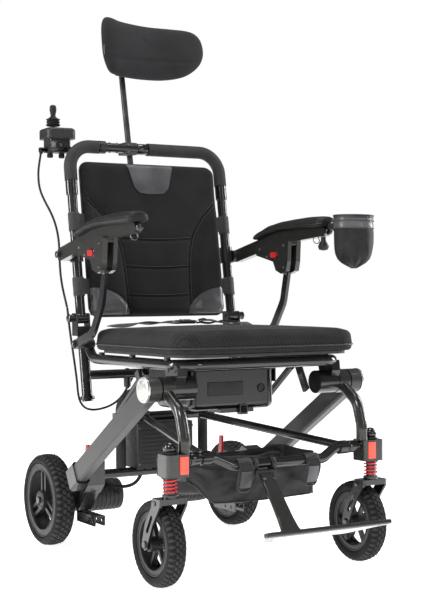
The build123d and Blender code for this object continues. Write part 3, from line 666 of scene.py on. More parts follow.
def inflate(o, pressure=3.0, frames=14, cap=0.006, pinned=None, keep_z=None):
    """Short cloth simulation with pressure: swells the pad between its seams; the result is applied."""
    me = o.data
    rest = [v.co.copy() for v in me.vertices]
    if pinned is not None:
        vg = o.vertex_groups.new(name="pin")
        for v in me.vertices:
            w = pinned(v.co)
            if w > 0:
                vg.add([v.index], w, "REPLACE")
    md = o.modifiers.new("cloth", "CLOTH")
    st = md.settings
    st.quality = 5
    st.mass = 0.3
    st.tension_stiffness = st.compression_stiffness = 20
    st.shear_stiffness = 8
    st.bending_stiffness = 0.6
    st.use_pressure = True
    st.uniform_pressure_force = pressure
    st.effector_weights.gravity = 0
    if pinned is not None:
        st.vertex_group_mass = "pin"
    md.point_cache.frame_start, md.point_cache.frame_end = 1, frames
    sc = bpy.context.scene
    for f in range(1, frames + 1):
        sc.frame_set(f)
    dg = bpy.context.evaluated_depsgraph_get()
    ev = o.evaluated_get(dg)
    new = [v.co.copy() for v in ev.data.vertices]
    o.modifiers.remove(md)
    sc.frame_set(1)
    for v, a, b in zip(me.vertices, rest, new):
        d = b - a
        if d.length > cap:
            d = d * (cap / d.length)
        v.co = a + d
    me.update()


# seat cushion: boxed spacer-mesh pad with a seam low on its band
def cush_top(x, y, d):
    crown = 0.0075 * (1 - (x / 0.225) ** 2) * (1 - (y / 0.215) ** 2)
    soft = 0.0006 * noise.noise((x * 22, y * 22, 0.3))
    return (0.0325 + crown + soft) * rim_profile(d, 0.024, 2.9)


def cush_low(x, y, d):
    return -0.0135 * rim_profile(d, 0.012, 2.2)


def cush_warp(x, y):
    return x * (1 - 0.012 * (1 - (y / 0.215) ** 2)), y * (1 - 0.010 * (1 - (x / 0.225) ** 2))


CUSH = pillow(0.225, 0.215, 0.048, cush_top, cush_low, lambda x, y, h: (x, y - 0.035, 0.4828 + h), 80, 76, cush_warp)
cushion = CUSH.obj("seat_cushion_pad", None, K["cushion_mesh"], "cushion_mesh", ["seat_cushion"], auto=60)
inflate(cushion, 2.2, 10, 0.0022, lambda c: 1.0 if c.z < 0.4835 else 0.0)
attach(cushion, "frame")
ring = []
for k in range(220):
    t = 2 * pi * k / 220
    # walk the outline by angle
    ca, sa = cos(t), sin(t)
    q = 1 / max(abs(ca), abs(sa))
    x, y = rr_point(ca * q, sa * q, 0.225, 0.215, 0.048)
    x, y = cush_warp(x, y)
    ring.append((x * 1.002, y * 1.002 - 0.035, 0.4828))
Geo().tube(ring, 0.0017, 0, 8, closed=True).obj("cushion_piping", "frame", K["piping"], "cushion_mesh", auto=0)

# backrest pad -------------------------------------------------------
J0 = np.array((0, 0.265, 0.540))
UPV = unit((0, 0.061, 0.412))
FWD = np.array((0, -UPV[2], UPV[1]))


def BP(x, v, off):
    """Point in the back's plane: across, up from the hinge, ahead of the tube axis."""
    return J0 + np.array((x, 0, 0)) + UPV * v + FWD * off


SEAM = [(0.190, 0.300), (0.176, 0.284), (0.160, 0.268), (0.143, 0.252), (0.127, 0.233), (0.112, 0.211), (0.101, 0.186),
        (0.094, 0.158), (0.090, 0.125), (0.087, 0.085), (0.086, 0.040), (0.086, -0.010)]
SEAM_L = [(-x, v) for x, v in SEAM]
BV0, BVC = 0.004, 0.190


def half_seam(v):
    for (xa, va), (xb, vb) in zip(SEAM, SEAM[1:]):
        if vb <= v <= va:
            return xa + (xb - xa) * (va - v) / (va - vb)
    return 0.195 if v > 0.3 else 0.086


def back_front(x, y, d):
    v = y + BVC
    ds = min(seg_dist(x, v, SEAM), seg_dist(x, v, SEAM_L))
    hs = half_seam(v)
    inner = abs(x) < hs
    groove = 0.0052 * math.exp(-(ds / 0.0042) ** 2)
    if inner:
        h = 0.0140 + 0.0032 * smoothstep(0, 0.03, ds)
        if v < 0.30:
            for hv in (0.186, 0.117, 0.048):
                lv = hv + 0.005 * (x / 0.09) ** 2
                if abs(x) < half_seam(hv):
                    groove = max(groove, 0.0042 * math.exp(-((v - lv) / 0.0034) ** 2))
    else:
        h = 0.0150 + 0.0050 * smoothstep(0, 0.035, ds) * smoothstep(-0.01, 0.05, 0.30 - v) ** 0.5
    dp = min(math.hypot((abs(x) - 0.183) / 0.104, (v + 0.004) / 0.074), 9)
    if dp < 1.25:
        groove = max(groove, 0.0025 * math.exp(-((dp - 1.0) / 0.035) ** 2))
        h -= 0.0020 * (1 - smoothstep(0.85, 1.15, dp))
    h += 0.0007 * noise.noise((x * 30, v * 30, 1.7))
    return (h + 0.001 - groove) * rim_profile(d, 0.018, 2.3)


def back_rear(x, y, d):
    return (-0.0075 + 0.0009 * noise.noise((x * 14, y * 14, 5.0))) * rim_profile(d, 0.008, 2.0)


BACKG = pillow(0.183, 0.186, 0.022, back_front, back_rear, lambda x, y, h: BP(x, y + BVC, h), 120, 120)
back = BACKG.obj("back_pad", "backrest", K["back_mesh"], "cushion_mesh", ["back_upholstery"], auto=60)


def on_back(x, v, lift):
    y = v - BVC
    d = max(0.0, edge_dist(x, y, 0.183, 0.186, 0.022))
    return BP(x, v, back_front(x, y, d) + lift)


# grey trim: a tab at the top centre and a quarter round at each lower corner
def trim(name, fn, nu, nv, mat, body="backrest", thick=0.0012):
    g = Geo()
    V, F = [], []
    for lift in (0.0001, thick):
        for i in range(nu + 1):
            for j in range(nv + 1):
                V.append(fn(i / nu, j / nv, lift))
    N = (nu + 1) * (nv + 1)
    for i in range(nu):
        for j in range(nv):
            a = i * (nv + 1) + j
            b = a + nv + 1
            F.append((N + a, N + b, N + b + 1, N + a + 1))
            F.append((a, a + 1, b + 1, b))
    for i in range(nu):
        for j in (0, nv):
            a = i * (nv + 1) + j
            F.append((a, a + nv + 1, N + a + nv + 1, N + a))
    for j in range(nv):
        for i in (0, nu):
            a = i * (nv + 1) + j
            F.append((a, a + 1, N + a + 1, N + a))
    g.add(V, F)
    return g.obj(name, body, mat, "nylon", auto=50)


def corner(sd):
    def f(u, w, lift):
        th = u * pi / 2
        rho = 0.02 + 0.98 * w
        x = sd * (0.1815 - 0.100 * rho * cos(th))
        v = 0.0065 + 0.064 * rho * sin(th)
        fold = 0.0012 * sin(9 * u + 4 * w) * sin(pi * w)
        return on_back(x, v, lift + fold + 0.0003)
    return f


for s, t in SIDES:
    trim(f"back_corner_{t}", corner(s), 22, 22, K["patch"])


def tab(u, w, lift):
    v = 0.3735 - 0.073 * w
    hw = 0.0635 - 0.021 * w - 0.010 * max(0, w - 0.82) / 0.18 * 1.0
    return on_back(-0.0015 + (2 * u - 1) * hw, v + 0.002 * (2 * u - 1) ** 2, lift + 0.0004)


trim("back_tab", tab, 24, 16, K["patch"])
# raised seams: twin needle threads beside each seam line
g = Geo()
for line in (SEAM, SEAM_L):
    for off in (-0.0036, 0.0036):
        pts = []
        for (xa, va), (xb, vb) in zip(line, line[1:]):
            n = np.array((vb - va, -(xb - xa)))
            n = n / np.linalg.norm(n)
            for q in (0, 0.33, 0.66):
                x, v = xa + (xb - xa) * q + n[0] * off, va + (vb - va) * q + n[1] * off
                if v > 0.012 and abs(x) < 0.176:
                    pts.append(on_back(x, v, 0.0003))
        g.tube(pts, 0.0007, 0, 5)
for hv in (0.186, 0.117, 0.048):
    hs = half_seam(hv) - 0.004
    g.tube([on_back(-hs + 2 * hs * k / 30, hv + 0.005 * ((-hs + 2 * hs * k / 30) / 0.09) ** 2 + 0.004, 0.0003) for k in range(31)], 0.0007, 0, 5)
# bound edge all round
ring = []
for k in range(240):
    t = 2 * pi * k / 240
    ca, sa = cos(t), sin(t)
    q = 1 / max(abs(ca), abs(sa))
    x, y = rr_point(ca * q, sa * q, 0.1835, 0.1865, 0.022)
    ring.append(BP(x, y + BVC, 0.0005))
g.tube(ring, 0.0022, 1, 8, closed=True)
g.obj("back_stitching", "backrest", [K["thread"], K["piping"]], "webbing", auto=0)

# ------------------------------------------------------------------ headrest
LEAN = unit((0, 0.2, 1))
HFWD = np.array((0, -LEAN[2], LEAN[1]))
HC = np.array((0, 0.3446 + 0.2 * (1.190 - 0.952), 1.190)) + HFWD * 0.043
H_OUT = [(-0.098, -0.062), (-0.110, -0.030), (-0.111, 0.010), (-0.108, 0.050), (-0.099, 0.071), (-0.082, 0.0765), (-0.050, 0.072),
         (0.020, 0.068), (0.090, 0.067), (0.136, 0.064), (0.160, 0.054), (0.172, 0.034), (0.174, 0.004), (0.164, -0.022),
         (0.142, -0.044), (0.110, -0.060), (0.060, -0.0695), (0.010, -0.072), (-0.040, -0.0715), (-0.075, -0.069)]


def closed_spline(pts, n):
    """Smooth closed outline through the points."""
    P = np.array(pts, float)
    N = len(P)
    out = []
    for k in range(n):
        u = k / n * N
        i, f = int(u) % N, u - int(u)
        a, b, c, d = P[(i - 1) % N], P[i], P[(i + 1) % N], P[(i + 2) % N]
        out.append(0.5 * (2 * b + (c - a) * f + (2 * a - 5 * b + 4 * c - d) * f * f + (3 * b - a - 3 * c + d) * f ** 3))
    return out


def puff(outline, centre, place, front, back, rings=26, n=128, p=2.3):
    """Closed pillow over an outline, fullest at its centre; front and back are thicknesses from (x, y, rho)."""
    O = closed_spline(outline, n)
    c = np.array(centre, float)
    g = Geo()
    V, F = [], []
    rho = [sin(pi / 2 * (k / rings)) for k in range(rings + 1)]
    rows = []
    for side, fn in ((1, front), (-1, back)):
        base = []
        for k in range(rings + 1):
            if side < 0 and k == rings:
                base.append(rows[0][rings])
                continue
            row = []
            for q in O:
                x, y = c + (np.array(q) - c) * rho[k]
                f = (1 - rho[k] ** p) ** (1 / p) if k < rings else 0.0
                row.append(len(V))
                V.append(place(x, y, side * fn(x, y, rho[k]) * f))
            base.append(row)
        rows.append(base)
    for base, flip in ((rows[0], 1), (rows[1], 0)):
        for k in range(rings):
            for j in range(n):
                j2 = (j + 1) % n
                f = (base[k][j], base[k][j2], base[k + 1][j2], base[k + 1][j])
                F.append(f if flip else f[::-1])
    g.add(V, F)
    return g


def h_curve(x):
    """The pillow curves forward at both ends."""
    return 0.014 * ((x - 0.032) / 0.142) ** 2 + (0.006 * smoothstep(-0.06, -0.11, x) if x < -0.06 else 0)


def HP(x, y, h):
    return HC + np.array((x, 0, 0)) + LEAN * y + HFWD * (h + h_curve(x) - 0.004)


def h_front(x, y, r):
    seam = 0.0032 * math.exp(-((y + 0.030 - 0.004 * (x / 0.1)) / 0.0035) ** 2)
    wing = 0.006 * math.exp(-((x + 0.082) / 0.022) ** 2)
    return 0.0225 + wing * (1 - 0.3 * r) - seam + 0.0008 * noise.noise((x * 26, y * 26, 2.2))


def h_back(x, y, r):
    return 0.0235 + 0.0012 * noise.noise((x * 20, y * 20, 7.7))


head = puff(H_OUT, (0.032, 0.0), HP, h_front, h_back).obj("headrest_pillow", None, K["headrest_fabric"], "headrest_fabric", auto=60)
inflate(head, 1.6, 8, 0.002)
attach(head, "headrest")
# swivel plate, its pin and the two knobs stand for the bracket end of the CAD solid
PY, PZ = 0.3842, 1.150
g = Geo()
for sx in (-0.0110, 0.0110):
    g.prism([(-0.024, -0.011), (0.002, -0.011), (0.008, -0.004), (0.008, 0.004), (0.002, 0.011), (-0.018, 0.011)],
            lambda x, y, h, sx=sx: (-0.036 + sx + h, PY + x, PZ + y), -0.0036, 0.0036, 0.001, 0)
g.lathe([(-0.0185, 0), (-0.0185, 0.0042), (-0.015, 0.005), (0.015, 0.005), (0.0185, 0.0042), (0.0185, 0)], (-0.036, PY, PZ), (1, 0, 0), 1, 20)
g.rbox(np.array((-0.036, PY, PZ)) + np.array((0, -0.0265, 0.006)), (0.050, 0.006, 0.040), 0.002, 0, axes=((1, 0, 0), HFWD, LEAN))
brk = g.obj("headrest_bracket", "headrest", [K["plastic_black"], K["steel_dark"]], "plastic_black", ["headrest"])
# zip pull at the end of the sewn seam along the lower third
g = Geo()


def h_on(x, y, lift):
    # ring share of the point, from the outline's own size there
    rr = min(0.98, max(abs((x - 0.032) / (0.142 if x > 0.032 else 0.143)), abs(y) / 0.072) * 0.96)
    f = (1 - rr ** 2.3) ** (1 / 2.3)
    return HP(x, y, h_front(x, y, rr) * f + lift)


g.obj  # the seam itself is in the pillow; the zip pull hangs at its right-hand end
pull = HP(-0.108, -0.010, 0.004)
g.tube([pull + np.array((-0.0025, -0.002, 0.008)), pull + np.array((-0.003, -0.003, 0.0)), pull + np.array((-0.003, -0.003, -0.006))], [0.0012, 0.0016, 0.0010], 0, 8)
g.rbox(pull + np.array((-0.003, -0.003, -0.011)), (0.0016, 0.0045, 0.011), 0.0007, 0)
g.obj("headrest_zip_pull", "headrest", K["steel_dark"], "steel_dark", auto=0)

# ------------------------------------------------------------------ armrest pads
PAD_TOP = [(-0.112, 0.7575), (-0.110, 0.7655), (-0.095, 0.7695), (-0.050, 0.7705), (0.000, 0.7690), (0.060, 0.7660), (0.110, 0.7600),
           (0.150, 0.7485), (0.180, 0.7380), (0.190, 0.7315)]
PAD_LOW = [(-0.112, 0.7560), (-0.109, 0.7470), (-0.095, 0.7445), (-0.050, 0.7445), (0.000, 0.7446), (0.060, 0.7446), (0.110, 0.7396),
           (0.150, 0.7325), (0.180, 0.7265), (0.190, 0.7300)]


def interp(tab, y):
    for (a, za), (b, zb) in zip(tab, tab[1:]):
        if y <= b:
            q = max(0.0, (y - a) / (b - a))
            q = q * q * (3 - 2 * q) * 0.4 + q * 0.6
            return za + (zb - za) * q
    return tab[-1][1]


for s, t in SIDES:
    rings = []
    N = 60
    for k in range(N + 1):
        y = -0.112 + 0.302 * (0.5 - 0.5 * cos(pi * k / N))
        zt, zl = interp(PAD_TOP, y), interp(PAD_LOW, y)
        end = min(1.0, (y + 0.1135) / 0.020, (0.1925 - y) / 0.030)
        hw = 0.0262 * max(0.12, (1 - (1 - max(0.0, end)) ** 2.2)) ** 0.5
        zc, hh = (zt + zl) / 2, max(0.0012, (zt - zl) / 2)
        row = []
        for j in range(36):
            a = 2 * pi * j / 36
            ca, sa = cos(a), sin(a)
            ex = 2 / 3.2
            px = math.copysign(abs(ca) ** ex, ca) * hw
            pz = math.copysign(abs(sa) ** (2 / (2.3 if sa > 0 else 4.0)), sa) * hh
            px *= 1.0 - 0.10 * max(0, sa)
            row.append((s * 0.241 + px, y, zc + pz))
        rings.append(row)
    pd = Geo().loft(rings).obj(f"arm_pad_cover_{t}", f"armrest_{t}", K["rubber_black"], "rubber_black", [f"arm_pad_{t}"], auto=50)
    g = Geo()
    # seam line low on each side of the pad
    for sx in (-1, 1):
        pts = []
        for k in range(4, 57):
            y = -0.112 + 0.302 * (0.5 - 0.5 * cos(pi * k / 60))
            zt, zl = interp(PAD_TOP, y), interp(PAD_LOW, y)
            end = min(1.0, (y + 0.1135) / 0.020, (0.1925 - y) / 0.030)
            hw = 0.0262 * max(0.12, (1 - (1 - max(0.0, end)) ** 2.2)) ** 0.5
            pts.append((s * 0.241 + sx * hw * 0.999, y, (zt + zl) / 2 - 0.22 * (zt - zl)))
        g.tube(pts, 0.0008, 0, 6)
    g.obj(f"arm_pad_seam_{t}", f"armrest_{t}", K["piping"], "rubber_black", auto=0)

# ------------------------------------------------------------------ cup pouch
g = Geo()
CX, CY = 0.242, -0.202
rows = []
PROF = [(0.766, 0.0436), (0.7625, 0.0444), (0.759, 0.0434), (0.7555, 0.0443), (0.752, 0.0430), (0.744, 0.0440), (0.736, 0.0436),
        (0.722, 0.0440), (0.706, 0.0436), (0.692, 0.0420), (0.680, 0.0395), (0.669, 0.0345), (0.660, 0.0250), (0.653, 0.0130), (0.648, 0.0045)]
for i, (z, r) in enumerate(PROF):
    row = []
    q = i / (len(PROF) - 1)
    for j in range(96):
        a = 2 * pi * j / 96
        pleat = 0.0010 * (1 - smoothstep(0.0, 0.25, q)) * sin(34 * a) + 0.0030 * smoothstep(0.45, 0.9, q) * (1 - smoothstep(0.93, 1, q)) * sin(9 * a + 0.6 * sin(3 * a))
        sag = 0.004 * smoothstep(0.3, 0.8, q) * noise.noise((cos(a) * 1.5, sin(a) * 1.5, q * 3))
        rr = r + pleat + sag
        row.append((CX + rr * cos(a), CY + rr * sin(a), z - 0.0025 * (1 - q) * (0.5 + 0.5 * cos(a + 0.8))))
    rows.append(row)
g.loft(rows[6:], 1, caps=False)
g.loft(rows[:3], 0, caps=False)
g.loft(rows[2:7], 2, caps=False)
cup = g.obj("cup_pouch", "cup_holder", [K["nylon"], K["mesh_net"], K["patch"]], "mesh_net", ["cup_holder"], auto=60)
so = cup.modifiers.new("cloth thickness", "SOLIDIFY")
so.thickness, so.offset = 0.0012, -1
g = Geo()
for z, r in ((0.7655, 0.0438), (0.7530, 0.0440), (0.7370, 0.0442)):
    g.tube([(CX + (r + 0.0004) * cos(a), CY + (r + 0.0004) * sin(a), z - 0.0018 * (0.5 + 0.5 * cos(a + 0.8))) for a in np.arange(72) * 2 * pi / 72], 0.0013, 0, 8, closed=True)
g.obj("cup_piping", "cup_holder", K["grey_clamp"], "webbing", auto=0)
g = Geo()
g.rbox((0.242, -0.1400, 0.745), (0.020, 0.045, 0.013), 0.003, 0)
g.rbox((0.242, -0.1592, 0.744), (0.028, 0.0055, 0.036), 0.002, 0)
g.lathe([(-0.010, 0), (-0.010, 0.0055), (-0.009, 0.0062), (0.009, 0.0062), (0.010, 0.0055), (0.010, 0)], (0.242, -0.124, 0.745), (0, 0, 1), 1, 24)
for z in (0.732, 0.756):
    g.lathe([(0, 0.0028), (-0.0018, 0.0028), (-0.0026, 0.0018), (-0.0026, 0)], (0.242, -0.1618, z), (0, 1, 0), 1, 14)
g.obj("cup_bracket", "cup_holder", [K["plastic_black"], K["steel_dark"]], "plastic_black")

# ------------------------------------------------------------------ bag: sagging open-topped shell
g = Geo()


def bag_ring(z, q):
    """Ring of the bag at height z; q is 0 at the mouth and 1 at the bottom."""
    x0, x1, y0, y1 = -0.196, 0.1255, -0.2212, -0.0758
    n = 40
    pts = []
    P = []
    for k in range(n):
        P.append((x0 + (x1 - x0) * k / n, y0, (x0 + (x1 - x0) * k / n, 0)))
    for k in range(16):
        P.append((x1, y0 + (y1 - y0) * k / 16, None))
    for k in range(n):
        P.append((x1 - (x1 - x0) * k / n, y1, None))
    for k in range(16):
        P.append((x0, y1 - (y1 - y0) * k / 16, None))
    cx, cy = (x0 + x1) / 2, (y0 + y1) / 2
    hx, hy = (x1 - x0) / 2, (y1 - y0) / 2
    for x, y, _ in P:
        a, b = (x - cx) / hx, (y - cy) / hy
        x2, y2 = rr_point(a, b, hx, hy, 0.022)
        X, Y = cx + x2, cy + y2
        u = (X - x0) / (x1 - x0)
        # walls draw in a little between corners and pouch out near the bottom
        wall = 0.006 * sin(pi * min(1, max(0, u))) * (0.5 - q)
        Y += wall if y2 > 0 else (0.004 * sin(pi * u) * (0.35 - q))
        wr = 0.0028 * noise.noise((X * 26, Y * 12, z * 34)) + 0.0016 * noise.noise((X * 60, 3.0, z * 70))
        Y += wr
        pts.append([X, Y, z])
    return pts


rows = []
LV = 22
for i in range(LV + 1):
    q = i / LV
    ring = []
    for X, Y, _ in bag_ring(0.25 - 0.085 * q, q):
        u = (X + 0.197) / 0.323
        front = smoothstep(-0.10, -0.20, Y) if Y < -0.10 else 0.0
        mouth = 0.2485 - 0.013 * sin(pi * max(0, min(1, u))) * front - 0.004 * noise.noise((X * 9, Y * 9, 0))
        mouth -= 0.010 * (1 - front) * sin(pi * u) * 0.6
        if u > 0.90:
            mouth += 0.004 * smoothstep(0.9, 1.0, u)
        mouth = min(mouth, 0.2555)
        low = 0.1615 if X > -0.128 else 0.1615 + (0.2060 - 0.1615) * smoothstep(-0.128, -0.195, X)
        low += 0.004 * (1 - sin(pi * max(0, min(1, u))))
        z = mouth + (low - mouth) * q
        ring.append((X, Y, z))
    rows.append(ring)
# rounded bottom, then the floor drawn to its middle
bottom = rows[-1]
cxm, cym = -0.030, -0.148
for k, (sc, dz) in enumerate(((0.985, -0.0000), (0.94, -0.0004), (0.7, 0.0015), (0.35, 0.003), (0.02, 0.0035))):
    rows.append([(cxm + (x - cxm) * sc, cym + (y - cym) * sc, max(0.1612, z + dz * (1 if k > 1 else 1))) for x, y, z in bottom])
g.loft(rows, 0, caps=False)
bag = g.obj("cargo_bag_shell", "frame", K["nylon"], "nylon", ["cargo_bag"], auto=60)
so = bag.modifiers.new("cloth thickness", "SOLIDIFY")
so.thickness, so.offset = 0.0022, 1 if False else -1
per = rows[0]
run = sum(math.dist(per[i], per[(i + 1) % len(per)]) for i in range(len(per)))
g = Geo()
g.tube([(x, y, z + 0.0004) for x, y, z in rows[0]], 0.0024, 0, 8, closed=True)
g.tube([(x * 1.0, y - 0.0003, z) for x, y, z in rows[0][:40]] if False else [(x, y - 0.0008, z) for x, y, z in rows[3][:41]], 0.0008, 1, 6)
g.tube([(x, y - 0.0006, z) for x, y, z in rows[-6][:41]], 0.0016, 0, 6)
for e in (38, 58):
    g.tube([rows[i][e] for i in range(0, LV, 1)], 0.0014, 0, 6)
g.obj("bag_binding", "frame", [K["piping"], K["thread"]], "nylon", auto=0)
# open front flap that slumps into the mouth
g = Geo()
F, nU, nV = [], 36, 12
V = []
for i in range(nU + 1):
    u = i / nU
    X = -0.150 + 0.262 * u
    for j in range(nV + 1):
        w = j / nV
        Y = -0.214 + 0.120 * w
        Z = 0.2400 - 0.016 * sin(pi * u) * (1 - w) - 0.030 * sin(pi * w) * (0.6 + 0.4 * sin(2 * pi * u + 0.6)) + 0.005 * noise.noise((X * 22, Y * 26, 3.3))
        V.append((X, Y, Z))
for i in range(nU):
    for j in range(nV):
        a = i * (nV + 1) + j
        F.append((a, a + 1, a + nV + 2, a + nV + 1))
g.add(V, F)
flap = g.obj("bag_flap", "frame", K["nylon"], "nylon", auto=60)
so = flap.modifiers.new("cloth thickness", "SOLIDIFY")
so.thickness = 0.0016

# straps: each wraps over the cross tube and hangs in front as a rounded, piped tab
TY, TZ = -0.262, 0.243
g = Geo()
for xc in (-0.0865, 0.0785):
    w = 0.034
    loop = []
    for k in range(15):
        a = rad(-20 + 205 * k / 14)
        loop.append((xc, TY + 0.0128 * cos(a), TZ + 0.0128 * sin(a)))
    start = [(xc, -0.2235, 0.2435), (xc, -0.236, 0.2405)]
    tail = [(xc, TY - 0.0135, TZ - 0.010), (xc, TY - 0.0120, TZ - 0.022), (xc, TY - 0.0080, TZ - 0.034), (xc, TY - 0.0035, TZ - 0.044), (xc, TY - 0.001, TZ - 0.050)]
    pts = start + loop + tail
    g.ribbon(pts, w, 0.0026, (1, 0, 0), 0)
    # piped tab outline
    out = []
    for k in range(48):
        a = 2 * pi * k / 48
        ex = math.copysign(abs(cos(a)) ** 0.55, cos(a)) * w * 0.52
        vz = sin(a)
        zz = TZ - 0.024 + vz * 0.030
        yy = TY - 0.0140 + 0.0125 * smoothstep(0.0, 0.045, TZ - 0.004 - zz)
        out.append((xc + ex, yy - 0.0008, zz))
    g.tube(out, 0.0022, 1, 8, closed=True)
    g.ribbon([(xc, TY - 0.0155, TZ - 0.012), (xc, TY - 0.0142, TZ - 0.022), (xc, TY - 0.0105, TZ - 0.034), (xc, TY - 0.0060, TZ - 0.046)], w * 0.78, 0.0026, (1, 0, 0), 2)
g.obj("bag_strap_loops", "frame", [K["webbing"], K["piping"], K["patch"]], "webbing", ["bag_straps"], auto=45)

# ------------------------------------------------------------------ lap belt lying on the cushion's rear edge
g = Geo()


def belt(pts, w, tilt=0.0):
    P = [np.array(p) for p in pts]
    out = []
    for i in range(len(P) - 1):
        for q in (0, 0.25, 0.5, 0.75):
            a, b, c, d = P[max(i - 1, 0)], P[i], P[i + 1], P[min(i + 2, len(P) - 1)]
            out.append(0.5 * (2 * b + (c - a) * q + (2 * a - 5 * b + 4 * c - d) * q * q + (3 * b - a - 3 * c + d) * q ** 3))
    out.append(P[-1])
    across = [(0.15 * sin(k * 0.35), 1.0, 0.25 * sin(k * 0.45 + tilt)) for k in range(len(out))]
    g.ribbon(out, w, 0.0018, across, 0)


belt([(-0.189, 0.150, 0.5225), (-0.150, 0.146, 0.5240), (-0.110, 0.152, 0.5290), (-0.070, 0.146, 0.5275), (-0.030, 0.149, 0.5290), (-0.006, 0.148, 0.5285)], 0.030)
belt([(0.189, 0.148, 0.5225), (0.150, 0.150, 0.5245), (0.110, 0.143, 0.5300), (0.075, 0.150, 0.5262), (0.045, 0.147, 0.5290), (0.026, 0.147, 0.5290)], 0.030, 1.2)
belt([(0.100, 0.136, 0.5265), (0.070, 0.134, 0.5330), (0.045, 0.140, 0.5310), (0.060, 0.152, 0.5345), (0.088, 0.156, 0.5300)], 0.022, 0.4)
g.rbox((0.008, 0.147, 0.5295), (0.040, 0.036, 0.0085), 0.003, 1)
g.rbox((0.008, 0.147, 0.5345), (0.022, 0.018, 0.0025), 0.001, 2)
g.rbox((-0.022, 0.1475, 0.5290), (0.018, 0.026, 0.0030), 0.001, 2)
g.tube([(0.036 + 0.009 * cos(a), 0.147 + 0.017 * sin(a), 0.5300) for a in np.arange(24) * 2 * pi / 24], 0.0017, 2, 8, closed=True)
g.obj("lap_belt_webbing", "frame", [K["webbing"], K["plastic_black"], K["chrome"]], "webbing", ["lap_belt"], auto=45)

# ------------------------------------------------------------------ footplate: carbon board and arm on two half clips
g = Geo()
FPN = unit((0, 0.309, 0.9511))
FPY = np.array((0, FPN[2], -FPN[1]))
FP0 = np.array((0, -0.451, 0.134))


def fp(x, y, h):
    return FP0 + np.array((x, 0, 0)) + FPY * y + FPN * h


def round_corners(pts, r, n=6):
    out = []
    N = len(pts)
    for i in range(N):
        a, b, c = (np.array(pts[(i + k) % N], float) for k in (-1, 0, 1))
        u, v = unit(a - b), unit(c - b)
        ang = math.acos(max(-1, min(1, u.dot(v))))
        dd = min(r / math.tan(ang / 2), 0.45 * min(np.linalg.norm(a - b), np.linalg.norm(c - b)))
        p, q = b + u * dd, b + v * dd
        for k in range(n + 1):
            t = k / n
            out.append(tuple((1 - t) ** 2 * p + 2 * t * (1 - t) * b + t * t * q))
    return out


g.prism(round_corners([(-0.150, 0), (0.150, 0), (0.150, 0.012), (0.098, 0.096), (-0.098, 0.096), (-0.150, 0.012)], 0.007), fp, -0.0049, 0.0049, 0.0038, 0, 4)
g.prism(round_corners([(-0.134, 0.012), (0.134, 0.012), (0.134, 0.018), (0.090, 0.087), (-0.090, 0.087), (-0.134, 0.018)], 0.008), fp, 0.0048, 0.0060, 0.0005, 1, 1)
g.prism(round_corners([(-0.128, 0.010), (0.128, 0.010), (0.090, 0.086), (-0.090, 0.086)], 0.008), fp, -0.0056, -0.0048, 0.0003, 4, 1)
# arm: flat carbon bar whose foot flares onto the plate
arm = [(-0.2790, 0.2225, 0.032), (-0.2900, 0.2080, 0.032), (-0.3200, 0.1740, 0.033), (-0.3480, 0.1410, 0.036), (-0.3640, 0.1230, 0.041), (-0.3720, 0.1145, 0.050)]
rings = []
for k, (y, z, w) in enumerate(arm):
    a, b = arm[max(k - 1, 0)], arm[min(k + 1, len(arm) - 1)]
    t = unit((0, b[0] - a[0], b[1] - a[1]))
    nn = np.array((0, -t[2], t[1]))
    c = np.array((-0.041, y, z))
    hw, hh = w / 2, 0.0045
    rings.append([c + np.array((x * hw, 0, 0)) + nn * q * hh for x, q in
                  ((-1, -0.5), (-0.94, -1), (0.94, -1), (1, -0.5), (1, 0.5), (0.94, 1), (-0.94, 1), (-1, 0.5))])
g.loft(rings, 0)
for x0 in (-0.063, -0.019):
    g.lathe([(-0.005, 0.0112), (-0.005, 0.0148), (-0.004, 0.0154), (0.004, 0.0154), (0.005, 0.0148), (0.005, 0.0112), (-0.005, 0.0112)], (x0, TY, TZ), (1, 0, 0), 2, 40)
    g.rbox((x0, TY - 0.0045, TZ - 0.0165), (0.009, 0.016, 0.010), 0.002, 2)
g.rbox((-0.041, -0.2735, 0.2262), (0.050, 0.012, 0.010), 0.002, 2)
for x0 in (-0.053, -0.029):
    g.lathe([(0, 0.0032), (-0.0016, 0.0032), (-0.0026, 0.002), (-0.0026, 0)], (x0, -0.2905, 0.2150), unit((0, 0.76, -0.65)), 3, 14)
g.obj("footplate_board", "footplate", [K["carbon_gloss"], K["rubber_black"], K["plastic_black"], K["steel_dark"], K["pale_pad"]], "carbon_gloss", ["footplate"], auto=40)

# ------------------------------------------------------------------ strap sleeves round the back tubes
g = Geo()
for s, t in SIDES:
    for z in (0.768, 0.614):
        v = (z - 0.540) / UPV[2]
        c = BP(s * 0.206, v, 0)
        g.lathe([(-0.0222, 0.0118), (-0.0222, 0.0132), (-0.020, 0.0139), (-0.007, 0.0136), (0.006, 0.0140), (0.020, 0.0138), (0.0222, 0.0132), (0.0222, 0.0118)], c, UPV, 0, 36)
        for e in (-0.018, 0.018):
            g.lathe([(e - 0.0009, 0.0138), (e, 0.0143), (e + 0.0009, 0.0138)], c, UPV, 1, 36)
        # tail of webbing to the pad's edge
        g.ribbon([BP(s * 0.199, v, 0.0105), BP(s * 0.190, v, 0.0085), BP(s * 0.178, v, 0.0065)], 0.038, 0.0016, UPV, 0)
g.obj("back_strap_sleeves", "backrest", [K["webbing"], K["thread"]], "webbing", ["back_straps"], auto=40)

# ------------------------------------------------------------------ small hardware
def screw(g, p, axis, r=0.0032, mi=0):
    g.lathe([(-0.0005, r), (0.0010, r), (0.0020, r * 0.72), (0.0022, r * 0.45), (0.0010, r * 0.42), (0.0010, 0)], p, axis, mi, 14)


